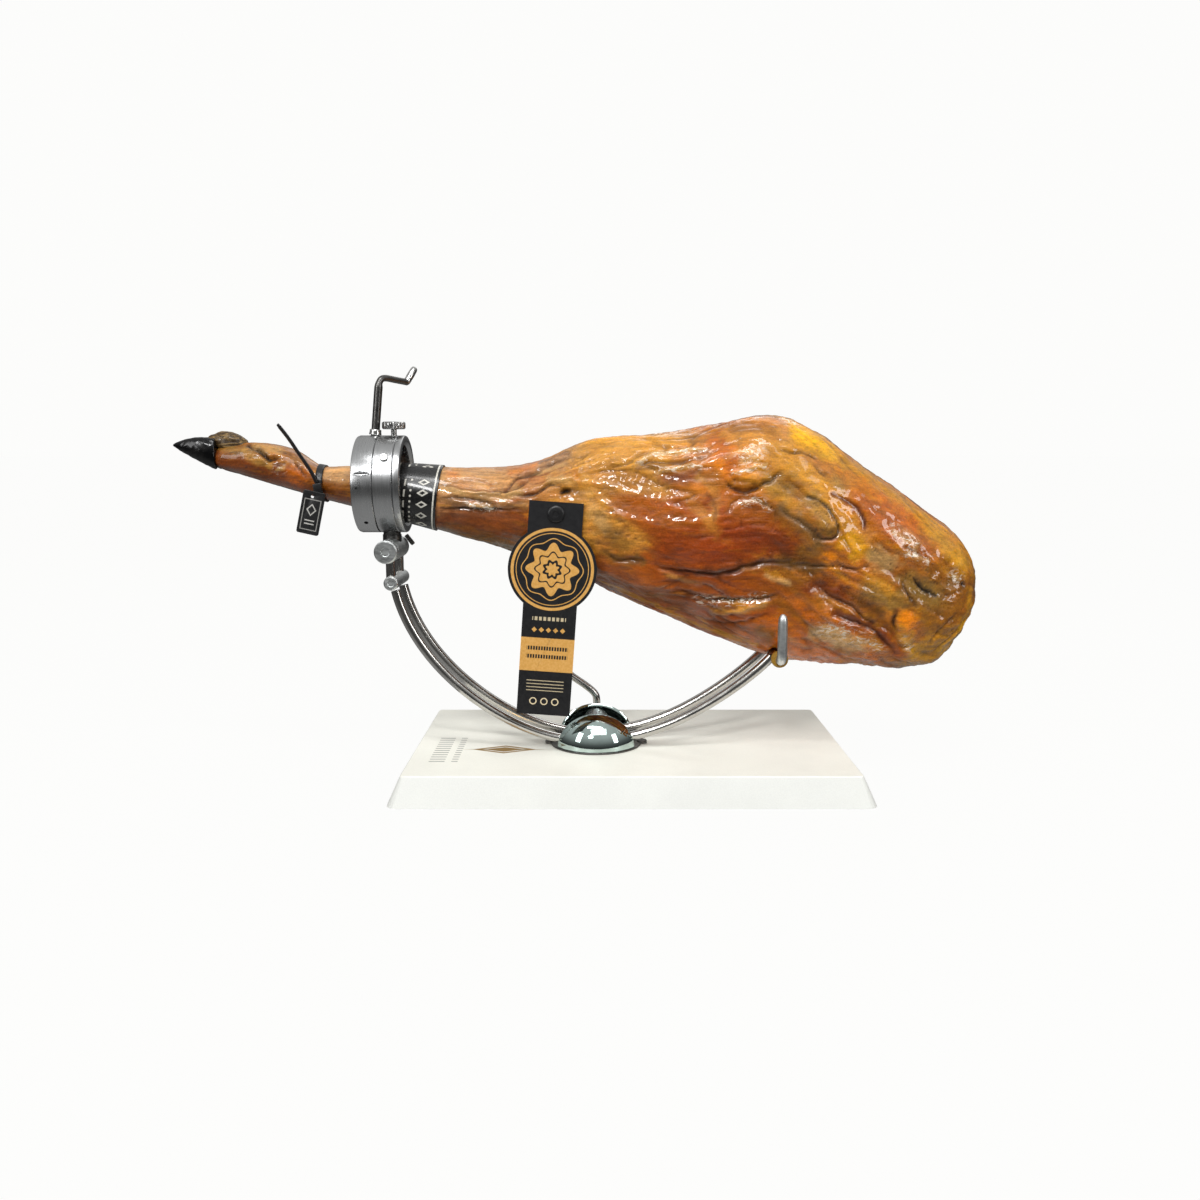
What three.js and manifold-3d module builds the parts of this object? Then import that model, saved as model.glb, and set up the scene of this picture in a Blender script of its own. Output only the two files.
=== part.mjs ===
// Cured ham clamped in its carving stand: a leg with hoof, labels and tag, held by the shank in a
// ring head and resting between two prongs, on curved arms that tilt in a domed hub on a heavy plate.
// Millimetres. X runs from hoof to butt, Y away from the carver, Z up. The origin is the middle of
// the plate's underside.
import * as THREE from 'three';
import { mergeVertices } from 'three/addons/utils/BufferGeometryUtils.js';
import Module from 'manifold-3d';

// Driving dimensions
const GAP = 0.3;                       // air left between pieces that touch
const STAND_Y = -14;                   // middle plane of arms, head and ham
const PLATE = { width: 450, depth: 270, height: 28.5, flare: 12, corner: 5, edge: 1.2 };
const HUB = { x: -35, radius: 47, rise: 43.5, wall: 3, slot: 49, axle: 47 };
const FLANGE = { radius: 48.5, inner: 36, height: 1.6, ear: 5.5, earReach: 49, earHeight: 3.6 };
const DOME_STEPS = 9;
const DRUM = { radius: 14.5, bore: 5.6, width: 45 };
const AXLE_RADIUS = 5;
const ROD = { radius: 5, hubSpread: 18, endSpread: 23 };
const CROSS_TUBE = { x: -244.5, z: 205, radius: 7.4, length: 70 };
const CLAMP = { x: -248, z: 237.5, radius: 11.9, length: 80, step: 2, neck: 8 };
const CLAMP_BOLT = { radius: 2.4, length: 13, turn: 142.4, y: 30, slide: 2.3 };
const NECK_RADIUS = 9.7;
const RING = { z: 305, radius: 50, left: -279.8, bearing: -257.8, lip: -237.9, right: -230.8 };
const RING_SIDES = 36;
const RING_BORE = { rotor: 40.5, sleeve: 43.4, bearing: 43.9 };
const RING_SCREW = { x: -246.5, turn: 56.5, head: 4.2, socket: 2.2, height: 1.4 };
const CRANK = { x: -262.9, z: 354, tilt: 5.5, turn: 50, shaft: 4.3, top: 60, arm: 37, rod: 3.4, gripLean: 32 };
const SCREW_BORE = 5.2;
const PAD = { radius: 9, height: 4, top: 329.6 };
const FERRULE = { low: 6.4, high: 5.4, height: 5.5 };
const THUMB = { x: -243.5, stem: 2.9, head: 12, low: 361.3, high: 368.9, teeth: 16 };
const LEVER = { y: 52.6, boss: 8, bossWidth: 10, rod: 4, knob: 8, endX: -66, endZ: 73 };
const CRADLE = { x: 150.5, z: 131, bar: 4.5, half: 60, prongY: 72, prongTop: 179.5, prong: 4.9, bend: 9 };
const COLLAR = { radius: 8.6, width: 7 };
const TAG = { x: -74, z: 289, y: -49, lean: 4, width: 54.5, disc: 44.8, discDrop: 68, drop: 218, card: 1 };
const TAG_HOLE = { drop: 12, radius: 6.6 };
const PEG = { radius: 5.6, head: 8.5, headHeight: 2.4 };
const SEAL = { x: -319.5, z: 298.5, width: 22.5, height: 44, card: 2.2, corner: 2, lean: 12.5 };
const TIE = { left: -321, right: -314, thick: 1.7 };
const TIE_HEAD = { z: 302, width: 8.5, depth: 6, height: 9, turn: -0.2 };
const TIE_TAIL = { width: 4.6, thick: 1.3 };
const LABEL = { left: -243, right: -196, slant: 0.13, thick: 1 };

const wasm = await Module();
wasm.setup();

// A THREE geometry as a manifold solid.
function solid(geometry) {
  const bare = geometry.clone();
  bare.deleteAttribute('normal');
  bare.deleteAttribute('uv');
  const merged = mergeVertices(bare, 1e-4);
  return new wasm.Manifold(new wasm.Mesh({
    numProp: 3,
    vertProperties: new Float32Array(merged.attributes.position.array),
    triVerts: new Uint32Array(merged.index.array),
  }));
}

// A manifold solid as a THREE geometry.
function geometryOf(manifold) {
  const mesh = manifold.getMesh();
  const geometry = new THREE.BufferGeometry();
  geometry.setAttribute('position', new THREE.BufferAttribute(new Float32Array(mesh.vertProperties), 3));
  geometry.setIndex(new THREE.BufferAttribute(new Uint32Array(mesh.triVerts), 1));
  geometry.computeVertexNormals();
  return geometry;
}

// Cuts the tools out of a geometry, after adding the joined pieces to it.
function carve(geometry, tools, joined = []) {
  let body = solid(geometry);
  for (const piece of joined) body = body.add(solid(piece));
  for (const tool of tools) body = body.subtract(solid(tool));
  return geometryOf(body);
}

// A closed skin over rings of points: the rings follow one another, and each runs
// counterclockwise when the next one is above it. A looped skin closes on its first ring.
function skin(rings, looped = false) {
  const count = rings[0].length;
  const places = rings.flat().flatMap((p) => [p.x, p.y, p.z]);
  const faces = [];
  const spans = looped ? rings.length : rings.length - 1;
  for (let i = 0; i < spans; i++) {
    const here = i * count;
    const next = ((i + 1) % rings.length) * count;
    for (let j = 0; j < count; j++) {
      const k = (j + 1) % count;
      faces.push(here + j, here + k, next + k, here + j, next + k, next + j);
    }
  }
  if (!looped) {
    for (const [ring, base, flip] of [[rings[0], 0, true], [rings.at(-1), (rings.length - 1) * count, false]]) {
      const middle = ring.reduce((sum, p) => sum.add(p), new THREE.Vector3()).divideScalar(count);
      const centre = places.length / 3;
      places.push(middle.x, middle.y, middle.z);
      for (let j = 0; j < count; j++) {
        const k = (j + 1) % count;
        faces.push(centre, base + (flip ? k : j), base + (flip ? j : k));
      }
    }
  }
  const geometry = new THREE.BufferGeometry();
  geometry.setAttribute('position', new THREE.Float32BufferAttribute(places, 3));
  geometry.setIndex(faces);
  geometry.computeVertexNormals();
  return geometry;
}

// A solid of revolution about Z from [radius, height] pairs.
function lathe(profile, sides = 32) {
  const points = profile.map(([radius, height]) => new THREE.Vector2(radius, height));
  return new THREE.LatheGeometry(points, sides).rotateX(Math.PI / 2);
}

// The same about X, with heights running along +X.
function latheX(profile, sides = 32) {
  return lathe(profile, sides).rotateY(Math.PI / 2);
}

// A straight round bar along Z, from low to high, with square ends or ends broken by a chamfer.
function bar(radius, low, high, sides = 16, chamfer = 0) {
  const square = [[0, low], [radius, low], [radius, high], [0, high]];
  const broken = [[0, low], [radius - chamfer, low], [radius, low + chamfer], [radius, high - chamfer],
    [radius - chamfer, high], [0, high]];
  return lathe(chamfer ? broken : square, sides);
}

// The same along Y.
function barY(radius, low, high, sides = 16, chamfer = 0) {
  return bar(radius, -high, -low, sides, chamfer).rotateX(Math.PI / 2);
}

// A round rod that follows a curve.
function rod(curve, radius, sides = 8, steps = 20) {
  const section = new THREE.Shape();
  for (let i = 0; i < sides; i++) {
    const angle = (i / sides) * 2 * Math.PI;
    section[i ? 'lineTo' : 'moveTo'](radius * Math.cos(angle), radius * Math.sin(angle));
  }
  return new THREE.ExtrudeGeometry(section, { steps, extrudePath: curve, bevelEnabled: false });
}

// The outline of a rectangle with round corners, counterclockwise, at one height.
function roundedRing(width, depth, radius, z, perCorner = 4) {
  const points = [];
  for (const [sx, sy, start] of [[1, 1, 0], [-1, 1, 90], [-1, -1, 180], [1, -1, 270]]) {
    for (let i = 0; i <= perCorner; i++) {
      const angle = THREE.MathUtils.degToRad(start + (90 * i) / perCorner);
      points.push(new THREE.Vector3(sx * (width / 2 - radius) + radius * Math.cos(angle),
        sy * (depth / 2 - radius) + radius * Math.sin(angle), z));
    }
  }
  return points;
}

// Smooth value of a table's column at x, through every row.
function smooth(table, x, column) {
  const last = table.length - 1;
  let i = 0;
  while (i < last - 1 && x > table[i + 1][0]) i++;
  const [a, b] = [table[i], table[i + 1]];
  const before = table[Math.max(i - 1, 0)];
  const after = table[Math.min(i + 2, last)];
  const span = b[0] - a[0];
  const t = THREE.MathUtils.clamp((x - a[0]) / span, 0, 1);
  const rise = (from, to) => (to[0] === from[0] ? 0 : ((to[column] - from[column]) / (to[0] - from[0])) * span);
  const [m0, m1] = [rise(before, b), rise(a, after)];
  return (2 * t ** 3 - 3 * t ** 2 + 1) * a[column] + (t ** 3 - 2 * t ** 2 + t) * m0
    + (-2 * t ** 3 + 3 * t ** 2) * b[column] + (t ** 3 - t ** 2) * m1;
}

// Materials
const finish = (color, roughness, metalness = 0) => new THREE.MeshStandardMaterial({ color, roughness, metalness });
const WHITE_STONE = finish(0xf0f0ec, 0.35);
const CHROME = finish(0xc8ced0, 0.08, 1);
const STEEL = finish(0xa9a9a7, 0.28, 1);
const BRUSHED = finish(0x9a9b9c, 0.38, 1);
const DARK_STEEL = finish(0x4a4a4a, 0.4, 1);
const AMBER = finish(0xa07a2a, 0.4);
const HAM_FLESH = finish(0xa8591c, 0.35);
const HORN = finish(0x17181a, 0.3);
const HORN_GREY = finish(0x5a4a36, 0.5);
const BLACK_CARD = finish(0x141416, 0.45);
const BLACK_PLASTIC = finish(0x161616, 0.4);

const whole = new THREE.Group();
const middle = new THREE.Group();
middle.position.y = STAND_Y;
whole.add(middle);

// Adds a named mesh to a group.
function piece(name, geometry, material, place = [0, 0, 0], group = middle) {
  const mesh = new THREE.Mesh(geometry, material);
  mesh.name = name;
  mesh.position.set(...place);
  group.add(mesh);
  return mesh;
}

// Base plate: a slab with sloping sides and a broken top edge
function basePlate() {
  const { width, depth, height, flare, corner, edge } = PLATE;
  const rings = [
    roundedRing(width + 2 * flare, depth + 2 * flare, corner + flare / 2, 0),
    roundedRing(width, depth, corner, height - edge),
    roundedRing(width - 2 * edge, depth - 2 * edge, corner - edge, height),
  ];
  piece('base_plate', skin(rings), WHITE_STONE, [0, 0, 0], whole);
}

// Hub: flange, two dome shells with the arms' slot between them, and the axle through both
function hub() {
  const floor = PLATE.height + GAP;
  const top = floor + FLANGE.height;
  const disc = lathe([[FLANGE.inner, floor], [FLANGE.radius, floor], [FLANGE.radius, top],
    [FLANGE.inner, top], [FLANGE.inner, floor]], 32);
  const ears = [-1, 1].map((side) => bar(FLANGE.ear, floor, floor + FLANGE.earHeight, 10)
    .translate(side * FLANGE.earReach, 0, 0));
  piece('hub_flange', carve(disc, [], ears), DARK_STEEL, [HUB.x, 0, 0]);

  const dome = (radius, rise) => {
    const arc = [[0, top + GAP]];
    for (let i = 0; i <= DOME_STEPS; i++) {
      const angle = (i / DOME_STEPS) * (Math.PI / 2);
      arc.push([radius * Math.cos(angle), top + GAP + rise * Math.sin(angle)]);
    }
    arc[arc.length - 1][0] = 0;
    return lathe(arc, 36);
  };
  const bore = barY(AXLE_RADIUS + GAP, -80, 80).translate(0, 0, HUB.axle);
  const slot = new THREE.BoxGeometry(3 * HUB.radius, HUB.slot, 4 * HUB.radius);
  const rise = HUB.rise - FLANGE.height - 2 * GAP;
  const hollow = dome(HUB.radius - HUB.wall, rise - HUB.wall).translate(0, 0, -0.01);
  for (const [name, side] of [['hub_shell_front', -1], ['hub_shell_back', 1]]) {
    const other = slot.clone().translate(0, -side * HUB.slot, 0);
    const cuts = side > 0 ? [hollow, slot, other, bore] : [hollow, slot, other];
    piece(name, carve(dome(HUB.radius, rise), cuts), CHROME, [HUB.x, 0, 0]);
  }
  const front = -HUB.radius * 0.77;
  piece('hub_axle', barY(AXLE_RADIUS, front, LEVER.y - LEVER.bossWidth / 2 - GAP), STEEL, [HUB.x, 0, HUB.axle]);
}

// Locking lever at the back of the axle: boss, bent rod and ball knob
function lever() {
  const boss = barY(LEVER.boss, LEVER.y - LEVER.bossWidth / 2, LEVER.y + LEVER.bossWidth / 2);
  const bends = [[0, 2], [0.5, 16], [-2, 24], [-12, 33], [-27, 43.5], [LEVER.endX, LEVER.endZ]];
  const route = new THREE.CatmullRomCurve3(bends.map(([x, z]) => new THREE.Vector3(x, LEVER.y, z)));
  const arm = rod(route, LEVER.rod, 8, 15);
  piece('lever', carve(boss, [], [arm]), STEEL, [HUB.x, 0, HUB.axle]);
  const outward = route.getTangent(1);
  const reach = LEVER.knob * 0.97;
  const centre = route.getPoint(1).add(new THREE.Vector3(HUB.x, 0, HUB.axle)).addScaledVector(outward, reach);
  const knob = new THREE.SphereGeometry(LEVER.knob, 12, 8);
  const socket = rod(new THREE.LineCurve3(outward.clone().multiplyScalar(-3 * LEVER.knob),
    outward.clone().multiplyScalar(-LEVER.knob / 2)), LEVER.rod + GAP, 10, 1);
  piece('lever_knob', carve(knob, [socket]), BLACK_PLASTIC, centre.toArray());
}

// The four arm rods and the drum that they meet in
const bezier = (...points) => {
  const [a, b, c, d] = points.map(([x, z]) => new THREE.Vector2(x, z));
  return new THREE.CubicBezierCurve(a, b, c, d);
};
const POST_X = -246;
const LEFT_ARM = bezier([-245.5, 233], [-247.5, 108], [-95.5, 24.5], [-41, 38.5]);
const RIGHT_ARM = bezier([-29, 38.5], [45, 35], [135, 110.5], [148, 128]);

// A rod of one side's arm, splayed from the hub to its far end.
function armCurve(flat, side, hubFirst) {
  const curve = new THREE.Curve();
  curve.getPoint = (t) => {
    const spot = flat.getPoint(t);
    const away = hubFirst ? t : 1 - t;
    return new THREE.Vector3(spot.x, side * (ROD.hubSpread + (ROD.endSpread - ROD.hubSpread) * away), spot.y);
  };
  return curve;
}

function arms() {
  const drumCut = barY(DRUM.radius + GAP, -DRUM.width, DRUM.width, 30).translate(HUB.x, 0, HUB.axle);
  const clampCut = barY(CLAMP.radius + GAP, -60, 60, 24).translate(CLAMP.x, 0, CLAMP.z);
  const above = new THREE.BoxGeometry(80, 120, 200).translate(CROSS_TUBE.x, 0, CROSS_TUBE.z + 100);
  const tubeCut = barY(CROSS_TUBE.radius + GAP, -60, 60, 20).translate(CROSS_TUBE.x, 0, CROSS_TUBE.z);
  const barCut = barY(CRADLE.bar + GAP, -60, 60).translate(CRADLE.x, 0, CRADLE.z);
  for (const [name, side] of [['front', -1], ['back', 1]]) {
    const left = rod(armCurve(LEFT_ARM, side, false), ROD.radius, 8, 22);
    piece(`arm_left_${name}`, carve(left, [drumCut, above, tubeCut]), STEEL);
    const post = bar(ROD.radius, CROSS_TUBE.z, CLAMP.z, 12).translate(POST_X, side * ROD.endSpread, 0);
    piece(`post_${name}`, carve(post, [tubeCut, clampCut]), STEEL);
    const right = rod(armCurve(RIGHT_ARM, side, true), ROD.radius, 8, 16);
    const trimmed = solid(right).subtract(solid(drumCut)).subtract(solid(barCut)).decompose()
      .sort((a, b) => b.volume() - a.volume());
    piece(`arm_right_${name}`, geometryOf(trimmed[0]), STEEL);
  }
  const drum = barY(DRUM.radius, -DRUM.width / 2, DRUM.width / 2, 24);
  piece('hub_drum', carve(drum, [barY(DRUM.bore, -40, 40)]), BRUSHED, [HUB.x, 0, HUB.axle]);
  piece('cross_tube', barY(CROSS_TUBE.radius, -CROSS_TUBE.length / 2, CROSS_TUBE.length / 2, 20, 1.4), STEEL,
    [CROSS_TUBE.x, 0, CROSS_TUBE.z]);
}

// Head: clamp barrel, neck, bearing ring, and the rotor that turns the shank in it
function head() {
  const half = CLAMP.length / 2;
  const collar = CLAMP.radius - CLAMP.step;
  const barrel = lathe([[0, -half], [CLAMP.radius - 1.4, -half], [CLAMP.radius, 1.4 - half],
    [CLAMP.radius, half - CLAMP.neck - 1], [collar, half - CLAMP.neck], [collar, half], [0, half]], 24)
    .rotateX(-Math.PI / 2);
  piece('head_clamp', barrel, STEEL, [CLAMP.x, 0, CLAMP.z]);
  const turn = THREE.MathUtils.degToRad(CLAMP_BOLT.turn);
  const away = CLAMP.radius + GAP + CLAMP_BOLT.radius;
  const low = CLAMP_BOLT.slide - CLAMP_BOLT.length / 2;
  piece('clamp_bolt', bar(CLAMP_BOLT.radius, low, low + CLAMP_BOLT.length, 10, 0.5).rotateY(turn), DARK_STEEL,
    [CLAMP.x - away * Math.cos(turn), CLAMP_BOLT.y, CLAMP.z + away * Math.sin(turn)]);

  const ringCut = latheX([[0, -30], [RING.radius + GAP, -30], [RING.radius + GAP, 30], [0, 30]], RING_SIDES)
    .translate(CLAMP.x, 0, RING.z);
  const clampCut = barY(CLAMP.radius + GAP, -60, 60, 24).translate(CLAMP.x, 0, CLAMP.z);
  const neck = bar(NECK_RADIUS, CLAMP.z, RING.z - RING.radius + 3, 20).translate(CLAMP.x, 0, 0);
  piece('neck', carve(neck, [ringCut, clampCut]), DARK_STEEL);

  const R = RING.radius;
  const crankAxis = new THREE.Matrix4().makeRotationY(THREE.MathUtils.degToRad(CRANK.tilt))
    .setPosition(CRANK.x, 0, CRANK.z);
  const screwBore = bar(SCREW_BORE, -40, 20, 14).applyMatrix4(crankAxis);
  const stemBore = bar(THUMB.stem + 0.7, RING.z + 30, RING.z + 60, 14).translate(THUMB.x, 0, 0);
  const bearing = latheX([[RING_BORE.bearing, RING.bearing], [R, RING.bearing], [R, RING.lip - GAP],
    [RING_BORE.bearing, RING.lip - GAP], [RING_BORE.bearing, RING.bearing]], RING_SIDES).translate(0, 0, RING.z);
  piece('bearing_ring', carve(bearing, [stemBore]), BRUSHED);
  const flangeEnd = RING.bearing - GAP;
  const sleeveEnd = RING.lip - GAP;
  const rotor = latheX([[RING_BORE.rotor, RING.left], [R - 2.5, RING.left], [R, RING.left + 2.5],
    [R, flangeEnd], [RING_BORE.sleeve, flangeEnd], [RING_BORE.sleeve, sleeveEnd],
    [RING_BORE.rotor, sleeveEnd], [RING_BORE.rotor, RING.left]], RING_SIDES).translate(0, 0, RING.z);
  const pocket = new THREE.SphereGeometry(8, 12, 6).scale(1, 0.3, 0.32)
    .translate(RING.left + 12, -R * Math.cos(0.24), RING.z + R * Math.sin(0.24));
  const dowel = barY(2.2, -R - 5, -R + 6, 10).rotateX(0.86).translate(RING.left + 12, 0, RING.z);
  piece('rotor_ring', carve(rotor, [screwBore, pocket, dowel]), BRUSHED);
  const lip = latheX([[RING_BORE.rotor, RING.lip], [R, RING.lip], [R, RING.right - 1.6],
    [R - 1.6, RING.right], [RING_BORE.rotor + 3, RING.right], [RING_BORE.rotor, RING.right - 3],
    [RING_BORE.rotor, RING.lip]], RING_SIDES).translate(0, 0, RING.z);
  piece('rotor_lip', lip, BRUSHED);
  const { head: screwHead, socket: hex, height: proud } = RING_SCREW;
  const seat = R + GAP;
  const screw = lathe([[0, seat], [screwHead, seat], [screwHead, seat + proud - 0.5], [screwHead - 0.6, seat + proud],
    [hex, seat + proud], [hex, seat + proud / 2], [0, seat + proud / 2]], 12)
    .rotateX(THREE.MathUtils.degToRad(RING_SCREW.turn));
  piece('ring_screw', screw, STEEL, [RING_SCREW.x, 0, RING.z]);

  const crank = new THREE.Group();
  crank.position.set(CRANK.x, 0, CRANK.z);
  crank.rotation.y = THREE.MathUtils.degToRad(CRANK.tilt);
  middle.add(crank);
  const ferruleFoot = 1.6;
  piece('crank_ferrule', lathe([[SCREW_BORE, ferruleFoot], [FERRULE.low, ferruleFoot],
    [FERRULE.high, ferruleFoot + FERRULE.height], [SCREW_BORE, ferruleFoot + FERRULE.height],
    [SCREW_BORE, ferruleFoot]], 18), CHROME, [0, 0, 0], crank);
  const tip = PAD.top + 0.8 - CRANK.z;
  const turned = new THREE.Group();
  turned.rotation.z = THREE.MathUtils.degToRad(CRANK.turn);
  crank.add(turned);
  const shaft = bar(CRANK.shaft, tip, CRANK.top - 6, 14);
  const route = new THREE.CatmullRomCurve3([[0, -8], [0.4, -1], [3.2, 3.6], [9, 5.2], [20, 4.8],
    [CRANK.arm - 3, 4.2], [CRANK.arm, 4]].map(([x, z]) => new THREE.Vector3(x, 0, CRANK.top - 5 + z)));
  piece('crank_shaft', carve(shaft, [], [rod(route, CRANK.rod, 8, 16)]), DARK_STEEL, [0, 0, 0], turned);
  const grip = lathe([[0, -2], [2.8, -2], [3.7, 0], [3.8, 9], [3.5, 17], [2.4, 19], [0, 19.6]], 12)
    .rotateY(THREE.MathUtils.degToRad(CRANK.gripLean)).translate(CRANK.arm - 0.6, 0, CRANK.top - 1);
  const beyond = new THREE.LineCurve3(route.getPoint(0.5), new THREE.Vector3(CRANK.arm + GAP, 0, CRANK.top - 1));
  piece('crank_grip', carve(grip, [rod(beyond, CRANK.rod + GAP, 8, 1), rod(route, CRANK.rod + GAP, 8, 16)]),
    STEEL, [0, 0, 0], turned);

  const knurl = [];
  for (let i = 0; i < 2 * THUMB.teeth; i++) {
    const angle = (i / THUMB.teeth) * Math.PI;
    const radius = i % 2 ? THUMB.head - 0.7 : THUMB.head;
    knurl.push([radius * Math.cos(angle), radius * Math.sin(angle)]);
  }
  const ringAt = (scale, z) => knurl.map(([x, y]) => new THREE.Vector3(x * scale, y * scale, z));
  const thumbHead = skin([ringAt(0.92, THUMB.low), ringAt(1, THUMB.low + 0.8), ringAt(1, THUMB.high - 0.8),
    ringAt(0.92, THUMB.high)]);
  const stem = bar(THUMB.stem, RING.z + RING_BORE.sleeve + 0.6, THUMB.low + 1, 12);
  piece('thumbscrew', carve(thumbHead, [], [stem]), STEEL, [THUMB.x, 0, 0]);
}

// Cradle: a cross bar on the right arms, with a collar and an upright prong at each end
const cradleBar = (extra) => barY(CRADLE.bar + extra, -CRADLE.half, CRADLE.half)
  .translate(CRADLE.x, 0, CRADLE.z);

function cradle() {
  piece('cradle_bar', cradleBar(0), STEEL);
  for (const [name, side] of [['front', -1], ['back', 1]]) {
    const { x, z, prongY, prongTop, bend, prong, half } = CRADLE;
    const path = new THREE.CatmullRomCurve3([[half + GAP, 0], [prongY - bend, 0], [prongY - bend * 0.3, bend * 0.3],
      [prongY, bend], [prongY, 25], [prongY, prongTop - z - 10]]
      .map(([y, up]) => new THREE.Vector3(x, side * y, z + up)), false, 'catmullrom', 0.35);
    const point = lathe([[0, -12], [prong, -12], [prong, -8], [prong * 0.86, -4], [prong * 0.5, -0.8], [0, 0]], 10)
      .translate(x, side * prongY, prongTop);
    const pin = carve(rod(path, prong, 10, 10), [], [point]);
    piece(`prong_${name}`, pin, STEEL);
    const from = half - COLLAR.width;
    const ring = lathe([[CRADLE.bar + GAP, from], [COLLAR.radius, from], [COLLAR.radius, half],
      [CRADLE.bar + GAP, half], [CRADLE.bar + GAP, from]], 18)
      .rotateX(side * -Math.PI / 2);
    piece(`collar_${name}`, ring, AMBER, [x, 0, z]);
  }
}

// Ham: upright sections from the foot to the butt.
// Each row holds x, top, bottom, and how far the section reaches in front of and behind the middle.
const HAM = [
  [-424, 344, 321, 15, 15],
  [-408, 345, 316, 18, 18],
  [-395, 349, 312, 20, 20],
  [-345, 341, 297, 22, 22],
  [-321, 324, 290, 20, 20],
  [-297, 324, 284, 22, 22],
  [-240, 326, 268.5, 27, 27],
  [-166, 322, 248, 30, 34],
  [-110, 325, 231, 37, 43],
  [-78, 335, 219, 42, 50],
  [-48, 350, 207, 47, 57],
  [-20, 353, 193, 51, 63],
  [27, 358, 172, 59, 69],
  [76, 366, 150, 63, 75],
  [126, 375, 131, 66, 77],
  [151, 375, 124, 66, 77],
  [175, 367, 119, 66, 77],
  [200, 355, 118, 65, 76],
  [226, 335, 117, 63, 74],
  [277, 301, 112, 58, 67],
  [318, 270, 116, 48, 53],
];
const BUTT = { from: 318, length: 45.5, middle: 199 };
const ROUNDNESS = { shank: 2, leg: 2.4 };

// Long folds of the dried face, as [x, z] from start over a middle point to the end, half-width and
// height above the face (grooves are negative).
const FOLDS = [
  { path: [[-7, 233], [48, 219], [150, 222]], width: 8, height: -4.5 },
  { path: [[22, 222], [70, 197], [135, 190]], width: 8, height: -4 },
  { path: [[26, 201], [45, 184], [61, 168]], width: 7, height: -3 },
  { path: [[10, 212], [62, 206], [140, 206]], width: 8, height: 3 },
  { path: [[181, 213], [241, 181], [298, 132]], width: 9, height: -8 },
  { path: [[190, 168], [235, 160], [262, 136]], width: 11, height: 5 },
  { path: [[156, 358], [188, 340], [216, 324]], width: 7, height: -5 },
  { path: [[201, 297], [214, 286], [232, 267]], width: 6, height: -5 },
  { path: [[250, 262], [276, 245], [296, 232]], width: 10, height: 5 },
  { path: [[276, 217], [292, 208], [305, 194]], width: 7, height: -5 },
  { path: [[95, 302], [112, 294], [130, 312]], width: 7, height: -5 },
  { path: [[-20, 332], [40, 322], [96, 338]], width: 10, height: 3.5 },
  { path: [[-40, 318], [20, 306], [80, 312]], width: 9, height: -3 },
  { path: [[-192, 297], [-127, 292], [-71, 311]], width: 6, height: 3 },
  { path: [[-192, 284], [-145, 286], [-105, 291]], width: 5, height: 2.4 },
  { path: [[-180, 272], [-120, 268], [-60, 262]], width: 7, height: -2.6 },
  { path: [[-150, 310], [-100, 316], [-60, 330]], width: 7, height: -2.4 },
];
// Round lumps and pits of the face: place, half-width and height.
const LUMPS = [
  { at: [187, 279], width: 17, height: 6 },
  { at: [194, 261], width: 10, height: 4 },
  { at: [278, 171], width: 12, height: 7 },
  { at: [-67, 300], width: 7, height: -6 },
  { at: [326, 208], width: 9, height: -4 },
  { at: [120, 345], width: 22, height: 5 },
  { at: [60, 262], width: 40, height: 6 },
];

const foldCurves = FOLDS.map(({ path }) => {
  const [a, b, c] = path.map(([x, z]) => new THREE.Vector2(x, z));
  return new THREE.SplineCurve([a, b, c]).getPoints(14);
});

// Height of the folds and lumps at a point of the face.
function relief(x, z) {
  const here = new THREE.Vector2(x, z);
  let height = 0;
  FOLDS.forEach((fold, i) => {
    const away = Math.min(...foldCurves[i].map((spot) => spot.distanceTo(here)));
    height += fold.height * Math.exp(-((away / fold.width) ** 2));
  });
  for (const lump of LUMPS) {
    const away = Math.hypot(x - lump.at[0], z - lump.at[1]);
    height += lump.height * Math.exp(-((away / lump.width) ** 2));
  }
  return height;
}

// A point of the ham's surface, or of one lying a little proud of it. The angle runs from +Y to +Z.
function hamPoint(x, angle, proud = 0) {
  const at = Math.min(x, BUTT.from);
  let [top, bottom, front, back] = [1, 2, 3, 4].map((column) => smooth(HAM, at, column));
  const past = Math.max(0, (x - BUTT.from) / BUTT.length);
  const close = (1 - past ** 1.3) ** 0.6;
  const middleZ = THREE.MathUtils.lerp((top + bottom) / 2, BUTT.middle, past);
  const half = ((top - bottom) / 2) * close + proud;
  const [cos, sin] = [Math.cos(angle), Math.sin(angle)];
  const leg = THREE.MathUtils.smoothstep(x, -110, 60);
  const power = 2 / THREE.MathUtils.lerp(ROUNDNESS.shank, ROUNDNESS.leg, leg);
  const z = middleZ + half * Math.sign(sin) * Math.abs(sin) ** power;
  const face = Math.max(0, -cos) ** 0.5;
  const reach = (cos < 0 ? front : back) * close ** 0.8 + proud;
  const y = reach * Math.sign(cos) * Math.abs(cos) ** power - face * relief(x, z);
  return new THREE.Vector3(x, y, z);
}

const HAM_SIDES = 34;
const RING_SPACING = 21;
const aroundAngles = Array.from({ length: HAM_SIDES }, (_, i) => (i / HAM_SIDES) * 2 * Math.PI);

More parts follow.
